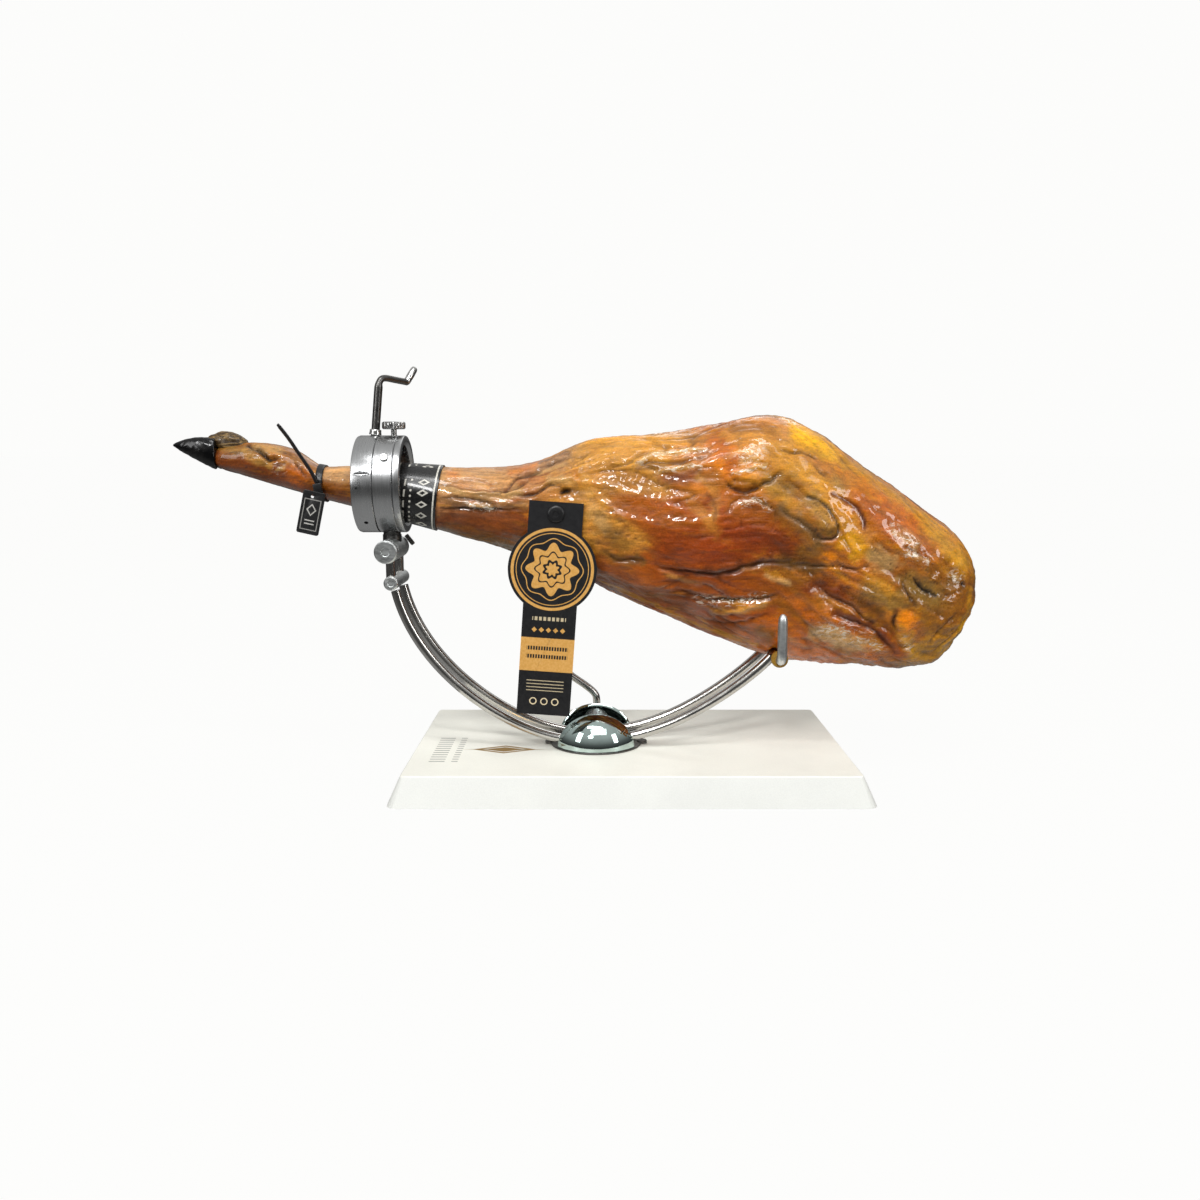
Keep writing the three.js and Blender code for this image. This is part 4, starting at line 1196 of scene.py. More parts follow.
@dataclass
class Crank:
    """Clamping screw with its ferrule, bent arm and grip, and the knurled thumbscrew beside it."""

    turn: float = math.radians(50)
    tip: float = -23.6
    top: float = 60.0
    shaft: float = 4.3
    arm: float = 3.4
    reach: float = 37.0
    grip_lean: float = math.radians(32)
    thumb_low: float = 361.3
    thumb_high: float = 368.9
    thumb_radius: float = 12.0
    teeth: int = 28
    bends: tuple[Spot, ...] = ((0, -8), (0.4, -1), (3.2, 3.6), (9, 5.2), (20, 4.8), (34, 4.2), (37, 4))

    def build(self, finishes: Finishes) -> None:
        """Builds the crank, the ferrule and the thumbscrew."""
        ferrule = Bench.turned([(5.2, 1.6), (6.1, 1.6), (6.4, 2.0), (5.9, 4.6), (5.9, 6.4), (5.4, 7.1),
                                (5.2, 7.1)], sides=64, closed=True)
        Bench.place(ferrule, CRANK_FOOT, (0, CRANK_LEAN, 0))
        Bench.fit(ferrule, "crank_ferrule", finishes.turned_steel)
        bend = arc_route([(x, self.top - 5 + z) for x, z in self.bends], 8)
        route = [(0, 0, self.tip), (0, 0, self.tip + 1)] + [(x, 0, z) for x, z in bend]
        radii = [self.shaft - 1, self.shaft]
        radii += [max(self.arm, self.shaft - 0.9 * max(0.0, (z - self.top + 10) / 6) - 0.12 * x)
                  for x, z in bend]
        shaft = Bench.rod(route, radii)
        Bench.fit(self._stand_up(shaft), "crank_shaft", finishes.dark, "crank")
        grip = Bench.turned([(2.2, -2), (2.8, -1.6), (3.6, 0), (3.8, 4), (3.5, 5), (3.8, 6), (3.8, 10),
                             (3.6, 16), (3.0, 18.2), (1.6, 19.3), (0.5, 19.6)], sides=48)
        Bench.place(grip, (self.reach - 0.6, 0, self.top - 1), (0, self.grip_lean, 0))
        Bench.fit(self._stand_up(grip), "crank_grip", finishes.turned_steel, "crank")
        self._thumbscrew(finishes)

    def _stand_up(self, piece: Piece) -> Piece:
        """Turns a piece of the crank about its screw and leans it as the screw leans."""
        Bench.place(piece, ORIGIN, (0, 0, self.turn))
        return Bench.place(piece, CRANK_FOOT, (0, CRANK_LEAN, 0))

    def _thumbscrew(self, finishes: Finishes) -> None:
        """Turned head with its knurl pressed in, on a thin stem."""
        x, foot = THUMB_FOOT
        low, high, wide = self.thumb_low, self.thumb_high, self.thumb_radius
        head = Bench.turned([(2.9, foot), (2.9, low + 0.2), (wide - 1.4, low), (wide - 0.4, low + 0.7),
                             (wide, low + 1.4), (wide, high - 1.4), (wide - 0.4, high - 0.7),
                             (wide - 1.4, high), (4.2, high), (3.8, high - 0.7)], sides=4 * self.teeth)
        with Bench.edit(head) as mesh:
            for point in mesh.verts:
                around = round(math.atan2(point.co.y, point.co.x) / (math.pi / 2 / self.teeth)) % 4
                point.select = around in (0, 1) and math.hypot(point.co.x, point.co.y) > wide - 0.2
            mesh.select_flush_mode()
            inward = (wide - 0.55) / wide
            bpy.ops.transform.resize(value=(inward, inward, 1), center_override=(0, 0, 0))
        Bench.place(head, (x, STAND_Y, 0))
        Bench.fit(head, "thumbscrew", finishes.turned_steel, "thumbscrew", 30)


@dataclass
class Cradle:
    """Cross bar with a collar and an upright prong at each end."""

    x: float = 150.5
    z: float = 131.0
    bar: float = 4.5
    half: float = 60.0
    prong_y: float = 72.0
    prong_rise: float = 48.5
    prong: float = 4.9
    collar: float = 8.6
    collar_width: float = 7.0

    def build(self, finishes: Finishes) -> None:
        """Builds the bar, the prongs and the collars."""
        bar = Bench.bar(self.bar, -self.half, self.half, 0.4, Axis.Y, (self.x, STAND_Y, self.z), 48)
        Bench.fit(bar, "cradle_bar", finishes.rod)
        corner = [(self.half + 0.3, 0), (63, 0), (66.6, 0.7), (69.8, 2.9), (71.6, 6), (72, 9.5), (72, 22)]
        bend = arc_route(corner, 6)
        tips = [(12.5, 1.0), (8.0, 0.99), (5.2, 0.93), (2.8, 0.78), (1.2, 0.56), (0.35, 0.32), (0.0, 0.08)]
        for name, side in SIDES:
            route = [(self.x, STAND_Y + side * y, self.z + up) for y, up in bend]
            route += [(self.x, STAND_Y + side * self.prong_y, self.z + self.prong_rise - down)
                      for down, _ in tips]
            radii = [self.prong] * len(bend) + [self.prong * share for _, share in tips]
            Bench.fit(Bench.rod(route, radii, 14), f"prong_{name}", finishes.satin, smooth=60)
            start, end = sorted((side * (self.half - self.collar_width), side * self.half))
            inner, outer = self.bar + 0.3, self.collar
            collar = Bench.turned([(inner, start), (outer - 1.2, start), (outer - 0.2, start + 1),
                                   (outer, start + 2.4), (outer, end - 2.4), (outer - 0.2, end - 1),
                                   (outer - 1.2, end), (inner, end)], Axis.Y, (self.x, STAND_Y, self.z), 64,
                                  closed=True)
            Bench.fit(collar, f"collar_{name}", finishes.amber)


@dataclass
class HangTag:
    """Card with a holed tab, a disc and a long strip, and the peg that pins it to the shank."""

    place: Point = (-74.0, STAND_Y - 49.0, 289.0)
    lean: float = math.radians(4)
    width: float = 54.5
    disc: float = 44.8
    disc_drop: float = 68.0
    drop: float = 218.0
    card: float = 1.0
    hole_drop: float = 12.0
    hole: float = 6.6
    peg: float = 5.6
    peg_head: float = 8.5

    def build(self, finishes: Finishes) -> None:
        """Builds the tag and its peg."""
        middle = self.card / 2
        tag = Bench.bar(self.disc, -middle, middle, 0.12, Axis.Y, (0, middle, -self.disc_drop), 160)
        strip = Bench.block((self.width, self.card, self.drop), (0, middle, -self.drop / 2))
        Bench.combine(tag, strip, "UNION")
        Bench.combine(tag, Bench.bar(self.hole, -3, 3, 0.1, Axis.Y, (0, middle, -self.hole_drop)))
        Bench.place(tag, self.place, (0, self.lean, 0))
        print_finish = PrintedCard(self.place, self.lean, self.disc_drop).build()
        Bench.fit(tag, "hang_tag", print_finish)
        head, wide = -self.card - 0.3, self.peg_head
        peg = Bench.turned([(2.6, head - 1.7), (3.2, head - 2.4), (wide - 2.2, head - 2.4),
                            (wide - 0.7, head - 2.0), (wide, head - 1.1), (wide, head), (self.peg, head),
                            (self.peg, 15)], Axis.Y, sides=64)
        Bench.place(peg, (0, self.card, -self.hole_drop))
        Bench.place(peg, self.place, (0, self.lean, 0))
        Bench.fit(peg, "tag_peg", finishes.black)


@dataclass
class Labels:
    """Label round the shank, cable tie with its loose end, and the seal tag."""

    tie_x: float = -317.5
    tie_z: float = 302.0
    tie_head: Point = (8.5, 6.0, 9.0)
    tie_turn: float = -0.2
    tail_half: float = 2.3
    tail_thick: float = 0.65
    tail_roll: float = math.radians(52)
    tail: tuple[Spot, ...] = ((-1, 4.9), (-7, 17.5), (-17, 33), (-28, 50), (-38.5, 64))
    seal: Spot = (-319.5, 298.5)
    seal_size: Point = (22.5, 2.2, 44.0)
    seal_lean: float = math.radians(12.5)

    def build(self, finishes: Finishes) -> None:
        """Builds all that is wound round the shank."""
        for node, finish in (("label_band", LabelPrint().build()), ("tie_band", finishes.black)):
            band = Bench.copy_of(node)
            with Bench.edit(band, "SELECT"):
                bpy.ops.mesh.tris_convert_to_quads()
                bpy.ops.mesh.select_all(action="DESELECT")
                bpy.ops.mesh.edges_select_sharp(sharpness=math.radians(55))
                bpy.ops.transform.edge_crease(value=0.9)
            Bench.apply(band, "SUBSURF", levels=2, render_levels=2)
            Bench.fit(band, node, finish, smooth=50)
        low, high = (np.array(corner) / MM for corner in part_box("tie_head"))
        depth = float(low[1] + high[1]) / 2
        self._tie_head(finishes, depth)
        self._tail(finishes, depth)
        self._seal()

    def _tie_head(self, finishes: Finishes, depth: float) -> None:
        """Rounded block of the cable tie with the pawl's window sunk in its face."""
        head = Bench.block(self.tie_head)
        with Bench.edit(head) as mesh:
            for face in mesh.faces:
                face.select = face.normal.y < -0.9
            bpy.ops.mesh.inset(thickness=1.7)
            bpy.ops.mesh.extrude_region_move(TRANSFORM_OT_translate={"value": (0, 1.6, 0)})
        Bench.soften(head, 0.6, 3, 40)
        Bench.place(head, (self.tie_x, depth, self.tie_z), (0, self.tie_turn, 0))
        Bench.fit(head, "tie_head", finishes.black)

    def _tail(self, finishes: Finishes, depth: float) -> None:
        """Loose end of the tie: a strap extruded along its curve, with a narrow tip."""
        route = arc_route(self.tail, 14)
        steps = np.gradient(route, axis=0)
        steps /= np.linalg.norm(steps, axis=1)[:, None]
        last = len(route) - 1
        strap = Bench.start(bpy.ops.mesh.primitive_plane_add, size=2)
        with Bench.edit(strap) as mesh:
            corners = [(-1, -1), (1, -1), (1, 1), (-1, 1)]
            roll_cos, roll_sin = math.cos(self.tail_roll), math.sin(self.tail_roll)
            round_order = sorted(mesh.verts, key=lambda v: math.atan2(v.co.y, v.co.x))
            for point, (wide, thick) in zip(round_order, corners):
                flat, deep = wide * self.tail_half, thick * self.tail_thick
                x, z = route[0] + (flat * roll_sin + deep * roll_cos) * np.array([-steps[0][1], steps[0][0]])
                point.co = (x, flat * roll_cos - deep * roll_sin, z)
            bpy.ops.mesh.select_all(action="SELECT")
            for index in range(1, last + 1):
                before, here = route[index - 1], route[index]
                bpy.ops.mesh.extrude_region_move(
                    TRANSFORM_OT_translate={"value": (here[0] - before[0], 0, here[1] - before[1])})
                bend = math.atan2(*steps[index]) - math.atan2(*steps[index - 1])
                bpy.ops.transform.rotate(value=-bend, orient_axis="Y", center_override=(here[0], 0, here[1]))
                if index in (last - 2, last):
                    bpy.ops.transform.resize(value=(0.86, 0.86, 0.86), center_override=(here[0], 0, here[1]))
        Bench.clean(strap, 0.001)
        Bench.soften(strap, 0.25, 2, 50)
        Bench.place(strap, (self.tie_x, depth, self.tie_z))
        Bench.fit(strap, "tie_tail", finishes.black)

    def _seal(self) -> None:
        """Stiff seal tag with round corners, a raised rim and a hole."""
        low, high = (np.array(corner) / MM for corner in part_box("seal_tag"))
        wide, card, tall = self.seal_size
        seal = Bench.block((wide, card, tall), (0, 0, -tall / 2))
        with Bench.edit(seal) as mesh:
            for edge in mesh.edges:
                along = edge.verts[0].co - edge.verts[1].co
                edge.select = abs(along.y) > card / 2
            bpy.ops.mesh.bevel(offset=2.0, segments=5)
            bpy.ops.mesh.select_all(action="DESELECT")
            for face in mesh.faces:
                face.select = abs(face.normal.y) > 0.9
            bpy.ops.mesh.inset(thickness=0.9, use_individual=True)
            bpy.ops.mesh.inset(thickness=0.25, depth=-0.25, use_individual=True)
        Bench.combine(seal, Bench.bar(1.7, -4, 4, 0.1, Axis.Y, (-1.5, 0, -5.5)))
        Bench.soften(seal, 0.15, 2, 50)
        place = (self.seal[0], float(low[1] + high[1]) / 2, self.seal[1])
        Bench.place(seal, place, (0, self.seal_lean, 0))
        Bench.fit(seal, "seal_tag", SealPrint(place, self.seal_lean).build())


class Grain:
    """Smooth seeded noise in space, from about -1 to 1."""

    size = 512                          # entries of the table
    gain = 1.7                          # brings the noise to its range

    def __init__(self, seed: int) -> None:
        """Draws the noise's table and directions."""
        draw = np.random.default_rng(seed)
        self.table = draw.permutation(self.size)
        directions = draw.normal(size=(self.size, 3))
        self.directions = directions / np.linalg.norm(directions, axis=1)[:, None]

    def at(self, places: np.ndarray) -> np.ndarray:
        """Noise at places that are one a row, with one feature to a unit."""
        cell = np.floor(places).astype(int)
        part = places - cell
        ease = part ** 3 * (part * (part * 6 - 15) + 10)
        total = np.zeros(len(places))
        for corner in product((0, 1), repeat=3):
            first, second, third = ((cell + corner) % self.size).T
            key = self.table[(second + self.table[third]) % self.size]
            key = self.table[(first + key) % self.size]
            weight = np.prod(np.where(corner, ease, 1 - ease), axis=1)
            total += weight * np.sum(self.directions[key] * (part - corner), axis=1)
        return total * self.gain

    def layers(self, places: np.ndarray, count: int) -> np.ndarray:
        """Noise with finer layers, each half as strong as the one before."""
        return sum(self.at(places * 2 ** layer + 17.0 * layer) / 2 ** layer for layer in range(count))


def smooth_step(value: np.ndarray, start: float, end: float) -> np.ndarray:
    """Soft steps from 0 at start to 1 at end."""
    share = np.clip((value - start) / (end - start), 0, 1)
    return share * share * (3 - 2 * share)


def reach_of(path: Sequence[float], spots: np.ndarray) -> tuple[np.ndarray, np.ndarray]:
    """How far spots of the face lie from a path, and where along it.

    Args:
        path: x and z of each of the path's points, in turn.
        spots: x and z of the spots, one a row.

    Returns:
        The distances, and the share of the path's way from 0 to 1.
    """
    line = arc_route(np.reshape(path, (-1, 2)), PATH_STEPS)
    best = np.full(len(spots), np.inf)
    share = np.zeros(len(spots))
    for index, (start, end) in enumerate(zip(line, line[1:])):
        way = end - start
        along = np.clip((spots - start) @ way / max(way @ way, 1e-9), 0, 1)
        away = np.linalg.norm(spots - start - along[:, None] * way, axis=1)
        nearer = away < best
        best = np.where(nearer, away, best)
        share = np.where(nearer, (index + along) / (len(line) - 1), share)
    return best, share


# Creases and ridges of the face: half width, rise (a crease's is negative), x and z of each point
CREASES = (
    (2.2, -2.2, -125, 301, -117, 310, -106, 314, -91, 320),
    (2.4, -1.6, -137, 299, -121, 300, -111, 305, -99, 313),
    (2.2, -2.0, -191, 293, -170, 292, -155, 290, -137, 284),
    (2.0, -1.8, -112, 294, -96, 297, -83, 304, -69, 305),
    (2.2, 1.8, -191, 304, -170, 299, -146, 296, -128, 297, -111, 299),
    (1.8, 1.4, -164, 285, -151, 283, -137, 281),
    (1.8, -1.3, -90, 324, -75, 329, -61, 335),
    (1.8, -1.2, -86, 331, -71, 336, -57, 341),
    (2.2, 1.8, -83, 309, -69, 311, -57, 311, -53, 305),
    (3.0, -4.0, -70, 299, -67, 300, -63, 299),
    (2.0, -1.5, -192, 281, -164, 282, -135, 281, -104, 281),
    (2.2, -1.8, -27, 324, -8, 325, 4, 332, 24, 341),
    (1.8, 1.8, 7, 330, 24, 336, 42, 338, 57, 341, 74, 342),
    (2.4, -2.4, 6, 326, 24, 329, 42, 328, 66, 332),
    (2.0, 1.6, 26, 319, 46, 323, 62, 326, 71, 321),
    (2.6, -3.4, 94, 310, 99, 303, 109, 299, 120, 302, 132, 308, 145, 317),
    (2.6, -3.2, 100, 311, 104, 310),
    (1.8, 1.6, 99, 317, 116, 321, 133, 326),
    (2.2, -1.8, 94, 280, 100, 290, 114, 294, 132, 287, 142, 278, 140, 267),
    (2.2, 1.2, -31, 291, -14, 280, 1, 261),
    (2.4, -2.6, 147, 340, 174, 337, 184, 332),
    (2.4, -2.8, 179, 325, 187, 318, 196, 314),
    (2.4, -3.0, 199, 297, 216, 289, 226, 282, 231, 271, 232, 265),
    (1.8, -2.6, 173, 296, 187, 289, 198, 278, 203, 269, 204, 260, 198, 254, 186, 255, 181, 262),
    (1.4, -1.6, 196, 271, 192, 267, 191, 262),
    (3.0, -2.4, 145, 283, 162, 272, 176, 262, 184, 249),
    (2.2, -2.0, 153, 226, 198, 226, 227, 222),
    (2.6, -3.2, 183, 209, 198, 197, 217, 187, 229, 178, 242, 168, 258, 160),
    (2.8, -3.4, 203, 177, 223, 170, 243, 162, 256, 150, 270, 136),
    (1.8, -1.6, 190, 233, 221, 224, 238, 227),
    (1.9, -2.4, 272, 209, 277, 197, 284, 189),
    (2.2, -3.2, 285, 211, 294, 202, 308, 194),
    (2.4, -3.0, 337, 206, 339, 204),
    (2.2, -2.6, 267, 179, 265, 168, 271, 159),
    (2.0, -1.6, 289, 144, 278, 140, 271, 150),
    (1.6, -1.4, 314, 190, 328, 197, 340, 198),
    (1.6, -1.6, 305, 138, 313, 157, 334, 178),
    (1.6, -1.4, 314, 133, 328, 151, 342, 169),
    (3.2, 1.8, 263, 269, 279, 257, 295, 244),
    (2.0, -2.0, 266, 246, 281, 241, 301, 231),
    (2.0, -1.6, 244, 251, 255, 242, 269, 235),
    (1.8, -1.4, 233, 291, 247, 279, 262, 273),
    (2.8, -3.0, 24, 225, 43, 220, 70, 218, 94, 219, 116, 226, 136, 230, 157, 230),
    (2.8, -3.0, 46, 200, 65, 195, 83, 191, 110, 191, 130, 193, 147, 197),
    (2.6, -2.2, -25, 238, -12, 230, 0, 232, 12, 230),
    (2.2, 1.8, 84, 177, 101, 178, 123, 185, 137, 190),
    (3.0, 1.6, 30, 220, 50, 212, 70, 206),
    (2.2, 1.8, 143, 213, 158, 208),
    (2.0, -1.4, 70, 169, 92, 165, 118, 169, 139, 180),
    (2.0, -3.0, -391, 345, -379, 339, -368, 331, -358, 331),
    (1.8, -1.4, -340, 328, -335, 320, -330, 312),
)

# Colours laid on the face in this order: tone, half width, strength, x and z of each point
# Cream and white lines laid along a ridge's path are painted highlights, and black and dark lines laid along
# a crease's path are painted shade.
PATCHES = (
    # Shank
    (Tone.BEIGE, 13, 0.75, -183, 312, -152, 312, -122, 304),
    (Tone.ROSE, 7, 0.6, -177, 307, -163, 306),
    (Tone.ORANGE, 5, 0.5, -184, 316, -181, 315),
    (Tone.ORANGE, 4, 0.45, -122, 318, -101, 324, -86, 331),
    (Tone.CREAM, 4, 0.6, -191, 301, -170, 297, -146, 293, -112, 296),
    (Tone.CREAM, 4, 0.45, -153, 287, -132, 285, -107, 285),
    (Tone.WHITE, 2.2, 0.35, -164, 285, -137, 281),
    (Tone.RUSSET, 13, 0.85, -184, 269, -143, 266, -108, 258),
    (Tone.OLIVE, 6, 0.75, -194, 258, -164, 248, -122, 237),
    # Neck
    (Tone.PURPLE, 10, 0.9, -83, 332, -69, 336, -54, 340),
    (Tone.PURPLE, 6, 0.6, -91, 322, -71, 324),
    (Tone.CREAM, 4, 0.7, -81, 309, -69, 311, -56, 309),
    (Tone.AMBER, 6, 0.7, -53, 316, -53, 310),
    (Tone.BLACK, 3.4, 0.9, -69, 299, -64, 299),
    (Tone.UMBER, 4, 0.6, -59, 300, -51, 298),
    # Thigh
    (Tone.OCHRE, 14, 0.8, -46, 343, -11, 345, 23, 350, 58, 354),
    (Tone.OCHRE, 13, 0.7, -41, 320, -6, 317, 24, 311),
    (Tone.OCHRE, 16, 0.7, -34, 286, -16, 271, 1, 251),
    (Tone.SLATE, 6, 0.55, -22, 260, -11, 258),
    (Tone.FAT, 2.4, 0.6, -31, 291, -14, 280, 1, 261),
    (Tone.UMBER, 4, 0.45, 9, 325, 30, 326, 58, 330),
    (Tone.WHITE, 1.6, 0.4, 9, 330, 24, 335, 48, 339, 73, 342),
    (Tone.WHITE, 1.8, 0.3, 26, 319, 46, 323, 68, 325),
    (Tone.ROSE, 5, 0.7, 69, 332, 77, 337),
    (Tone.MAROON, 7, 0.65, 33, 312, 48, 315, 65, 319),
    # Crown
    (Tone.CARAMEL, 8, 0.6, 63, 353, 82, 358, 106, 362),
    (Tone.BRIGHT, 5.5, 0.95, 86, 329, 88, 317),
    (Tone.SIENNA, 6, 0.5, 91, 350, 93, 334),
    (Tone.OCHRE, 11, 0.6, 101, 355, 121, 352, 134, 345),
    (Tone.WHITE, 5, 0.35, 111, 330, 121, 333),
    (Tone.WHITE, 1.6, 0.35, 100, 317, 116, 321, 133, 326),
    (Tone.UMBER, 6, 0.4, 107, 307, 122, 311, 131, 317),
    # Red muscle
    (Tone.RUST, 17, 0.75, -6, 286, 29, 271, 69, 266),
    (Tone.MAHOGANY, 18, 0.75, 39, 246, 79, 244, 118, 247),
    (Tone.MAHOGANY, 16, 0.8, 103, 264, 133, 257, 153, 247),
    (Tone.COPPER, 12, 0.65, 108, 281, 119, 284, 132, 274),
    (Tone.OCHRE, 7, 0.45, 58, 291, 73, 276, 80, 264),
    (Tone.ORANGE, 8, 0.35, 9, 291, 39, 286, 63, 291),
    # Fat rim and its field; the rim's bright yellow stands partly for the fat's own colour and partly for
    # painted light shining through it from behind
    (Tone.FAT_BRIGHT, 10, 0.95, 165, 359, 185, 348, 203, 337),
    (Tone.AMBER, 5, 0.6, 135, 369, 155, 364),
    (Tone.ROSE, 7, 0.5, 153, 358, 156, 347),
    (Tone.FAT, 15, 0.8, 151, 329, 171, 321, 186, 306, 201, 291),
    (Tone.FAT, 12, 0.75, 209, 270, 219, 260, 230, 247),
    (Tone.MAUVE, 6, 0.7, 177, 332, 187, 327, 197, 321),
    (Tone.MOULD, 7, 0.7, 204, 310, 211, 304),
    # Right side and the bone
    (Tone.AMBER, 12, 0.7, 215, 321, 236, 306, 260, 286),
    (Tone.SIENNA, 12, 0.8, 237, 277, 250, 265, 260, 259),
    (Tone.MAROON, 3, 0.8, 199, 297, 216, 289, 227, 281, 231, 266),
    (Tone.BONE, 9, 0.85, 177, 291, 187, 280, 195, 267),
    (Tone.BLACK, 1.3, 0.75, 173, 296, 187, 289, 198, 278, 203, 269, 204, 260, 198, 254, 186, 255, 181, 262),
    (Tone.UMBER, 5, 0.5, 187, 260, 199, 262),
    (Tone.MOULD, 10, 0.6, 139, 304, 152, 302),
    (Tone.SLATE, 6, 0.8, 147, 283, 162, 272, 176, 261, 185, 249),
    (Tone.BRIGHT, 5.5, 0.75, 191, 234, 198, 235),
    (Tone.OLIVE, 8, 0.55, 168, 240, 183, 240),
    # Butt
    (Tone.FAT_DEEP, 11, 0.9, 297, 266, 316, 251, 336, 229),
    (Tone.ORANGE, 9, 0.55, 251, 299, 272, 283, 291, 266),
    (Tone.SIENNA, 9, 0.5, 261, 264, 277, 253, 296, 239),
    (Tone.PEACH, 9, 0.6, 254, 239, 274, 231, 291, 221),
    (Tone.MOULD, 15, 0.85, 283, 206, 297, 198, 309, 187),
    (Tone.MOULD, 12, 0.8, 238, 199, 255, 192, 269, 185),
    (Tone.BONE, 5, 0.7, 244, 207, 248, 204),
    (Tone.TEAL, 7, 0.55, 324, 205, 331, 207),
    (Tone.BLACK, 2.2, 0.85, 285, 211, 294, 202, 308, 194),
    (Tone.BLACK, 2.6, 0.9, 338, 206, 339, 204),
    (Tone.BRIGHT, 9.5, 0.95, 277, 173, 283, 168),
    (Tone.PEACH, 8, 0.75, 291, 160, 295, 153),
    (Tone.UMBER, 4, 0.75, 265, 179, 264, 169),
    (Tone.CARAMEL, 15, 0.7, 309, 169, 320, 179, 332, 188),
    (Tone.FAT_BRIGHT, 7, 0.85, 326, 137, 337, 146, 345, 161),
    # Grooves and the flap under the butt
    (Tone.CARAMEL, 6, 0.7, 189, 194, 215, 180, 239, 166),
    (Tone.MAROON, 4.5, 0.75, 203, 179, 223, 172, 243, 163, 258, 149),
    (Tone.UMBER, 6, 0.6, 232, 187, 247, 175, 262, 162),
    (Tone.ORANGE, 12, 0.6, 170, 156, 201, 146, 242, 135, 273, 131),
    (Tone.WHITE, 4.5, 0.4, 196, 162, 210, 160, 229, 152),
    (Tone.WHITE, 2.4, 0.35, 240, 149, 248, 144, 254, 139),
    (Tone.SLATE, 5, 0.5, 209, 141, 221, 138),
    (Tone.MAHOGANY, 6, 0.6, 252, 157, 264, 145, 273, 135),
    # Lower thigh and belly
    (Tone.PURPLE_DARK, 6, 0.7, 69, 220, 94, 222, 119, 227, 153, 230),
    (Tone.CREAM, 2.4, 0.7, 133, 217, 144, 213, 158, 208),
    (Tone.COPPER, 9, 0.5, 9, 211, 49, 201, 89, 204, 129, 210),
    (Tone.OCHRE, 4.5, 0.7, 85, 179, 109, 180, 134, 188),
    (Tone.OLIVE, 4.5, 0.65, -27, 239, -12, 231, 12, 230),
    (Tone.UMBER, 8, 0.45, -31, 215, 9, 199, 50, 185),
    (Tone.RUSSET, 8, 0.5, 50, 183, 80, 169, 110, 159),
    (Tone.OLIVE, 7, 0.65, 132, 158, 142, 153),
    (Tone.ORANGE, 6, 0.7, 110, 151, 122, 148),
    (Tone.FAT_DEEP, 2.2, 0.6, -31, 205, 20, 183, 70, 161, 130, 141),
    # Foot
    (Tone.RUSSET, 12, 0.7, -414, 328, -378, 312, -337, 303),
    (Tone.CARAMEL, 6, 0.7, -415, 338, -402, 338),
    (Tone.ORANGE, 9, 0.8, -343, 314, -334, 313),
    (Tone.BONE, 5, 0.75, -392, 338, -380, 330, -367, 326),
    (Tone.CARAMEL, 6, 0.7, -385, 345, -369, 340, -351, 333),
    (Tone.BLACK, 2.2, 0.8, -391, 344, -378, 339, -367, 331),
    (Tone.WHITE, 2, 0.35, -360, 320, -353, 321),
    # Painted shade under a lobe of the thigh, two darker patches, and painted light on the flap under the
    # butt
    (Tone.UMBER, 8, 0.7, 156, 237, 168, 231, 184, 229),
    (Tone.RUSSET, 7, 0.5, 134, 204, 159, 202, 174, 198),
    (Tone.OLIVE, 9, 0.5, -31, 265, -19, 253, -9, 243),
    (Tone.CREAM, 9, 0.9, 188, 157, 209, 151, 231, 143),
    # Dry skin of the foot
    (Tone.CREAM, 5, 0.55, -383, 344, -373, 343, -360, 339),
    (Tone.MOULD, 4, 0.6, -425, 344, -411, 342, -396, 340),
    # Painted highlights: glints on the wet glaze
    (Tone.WHITE, 3.5, 0.3, 261, 261, 273, 253, 284, 245),
    (Tone.WHITE, 2.5, 0.3, 274, 239, 288, 234, 298, 231),
    (Tone.WHITE, 3, 0.35, 328, 214, 333, 212),
    (Tone.WHITE, 2.5, 0.25, 112, 338, 126, 343),
    (Tone.WHITE, 2.2, 0.2, 108, 288, 123, 291, 135, 285),
    (Tone.WHITE, 2.5, 0.25, 278, 150, 286, 141),
    (Tone.WHITE, 2.5, 0.15, 69, 191, 104, 189, 134, 195),
    # Fine lines of shank and neck
    (Tone.SLATE, 4, 0.65, -193, 291, -181, 289, -169, 286),
    (Tone.UMBER, 1.5, 0.6, -191, 306, -170, 302, -146, 298, -128, 299),
    (Tone.UMBER, 1.6, 0.6, -183, 296, -163, 291, -137, 287, -112, 286),
    (Tone.UMBER, 1.8, 0.65, -192, 281, -165, 280, -135, 279, -105, 279),
    (Tone.MAROON, 1.6, 0.6, -126, 301, -117, 308, -105, 312, -83, 318),
    (Tone.UMBER, 1.6, 0.6, -110, 293, -96, 297, -81, 304, -71, 305),
    (Tone.RUSSET, 1.3, 0.5, -162, 314, -152, 309, -140, 304),
    (Tone.UMBER, 1.3, 0.5, -95, 321, -79, 327, -63, 331),
    (Tone.UMBER, 1.2, 0.45, -90, 328, -75, 333, -61, 338),
    (Tone.RUSSET, 1.3, 0.5, -101, 314, -86, 319, -69, 323),
    (Tone.CREAM, 1.6, 0.6, -97, 317, -83, 321, -68, 326),
    (Tone.CARAMEL, 2.5, 0.5, -188, 265, -153, 257, -120, 246),
    # Golden rims, and shades laid last
    (Tone.FAT_DEEP, 7, 0.8, 211, 332, 246, 312, 283, 284, 315, 255, 340, 224),
    (Tone.FAT_DEEP, 4, 0.6, 349, 197, 347, 175, 334, 152),
    (Tone.SIENNA, 9, 0.6, 221, 294, 242, 284, 260, 274),
    (Tone.UMBER, 5, 0.6, 214, 202, 232, 191, 251, 179),
    (Tone.UMBER, 2.5, 0.7, 274, 207, 279, 195, 286, 186),
    (Tone.FAT, 6, 0.6, 237, 213, 250, 207, 258, 199),
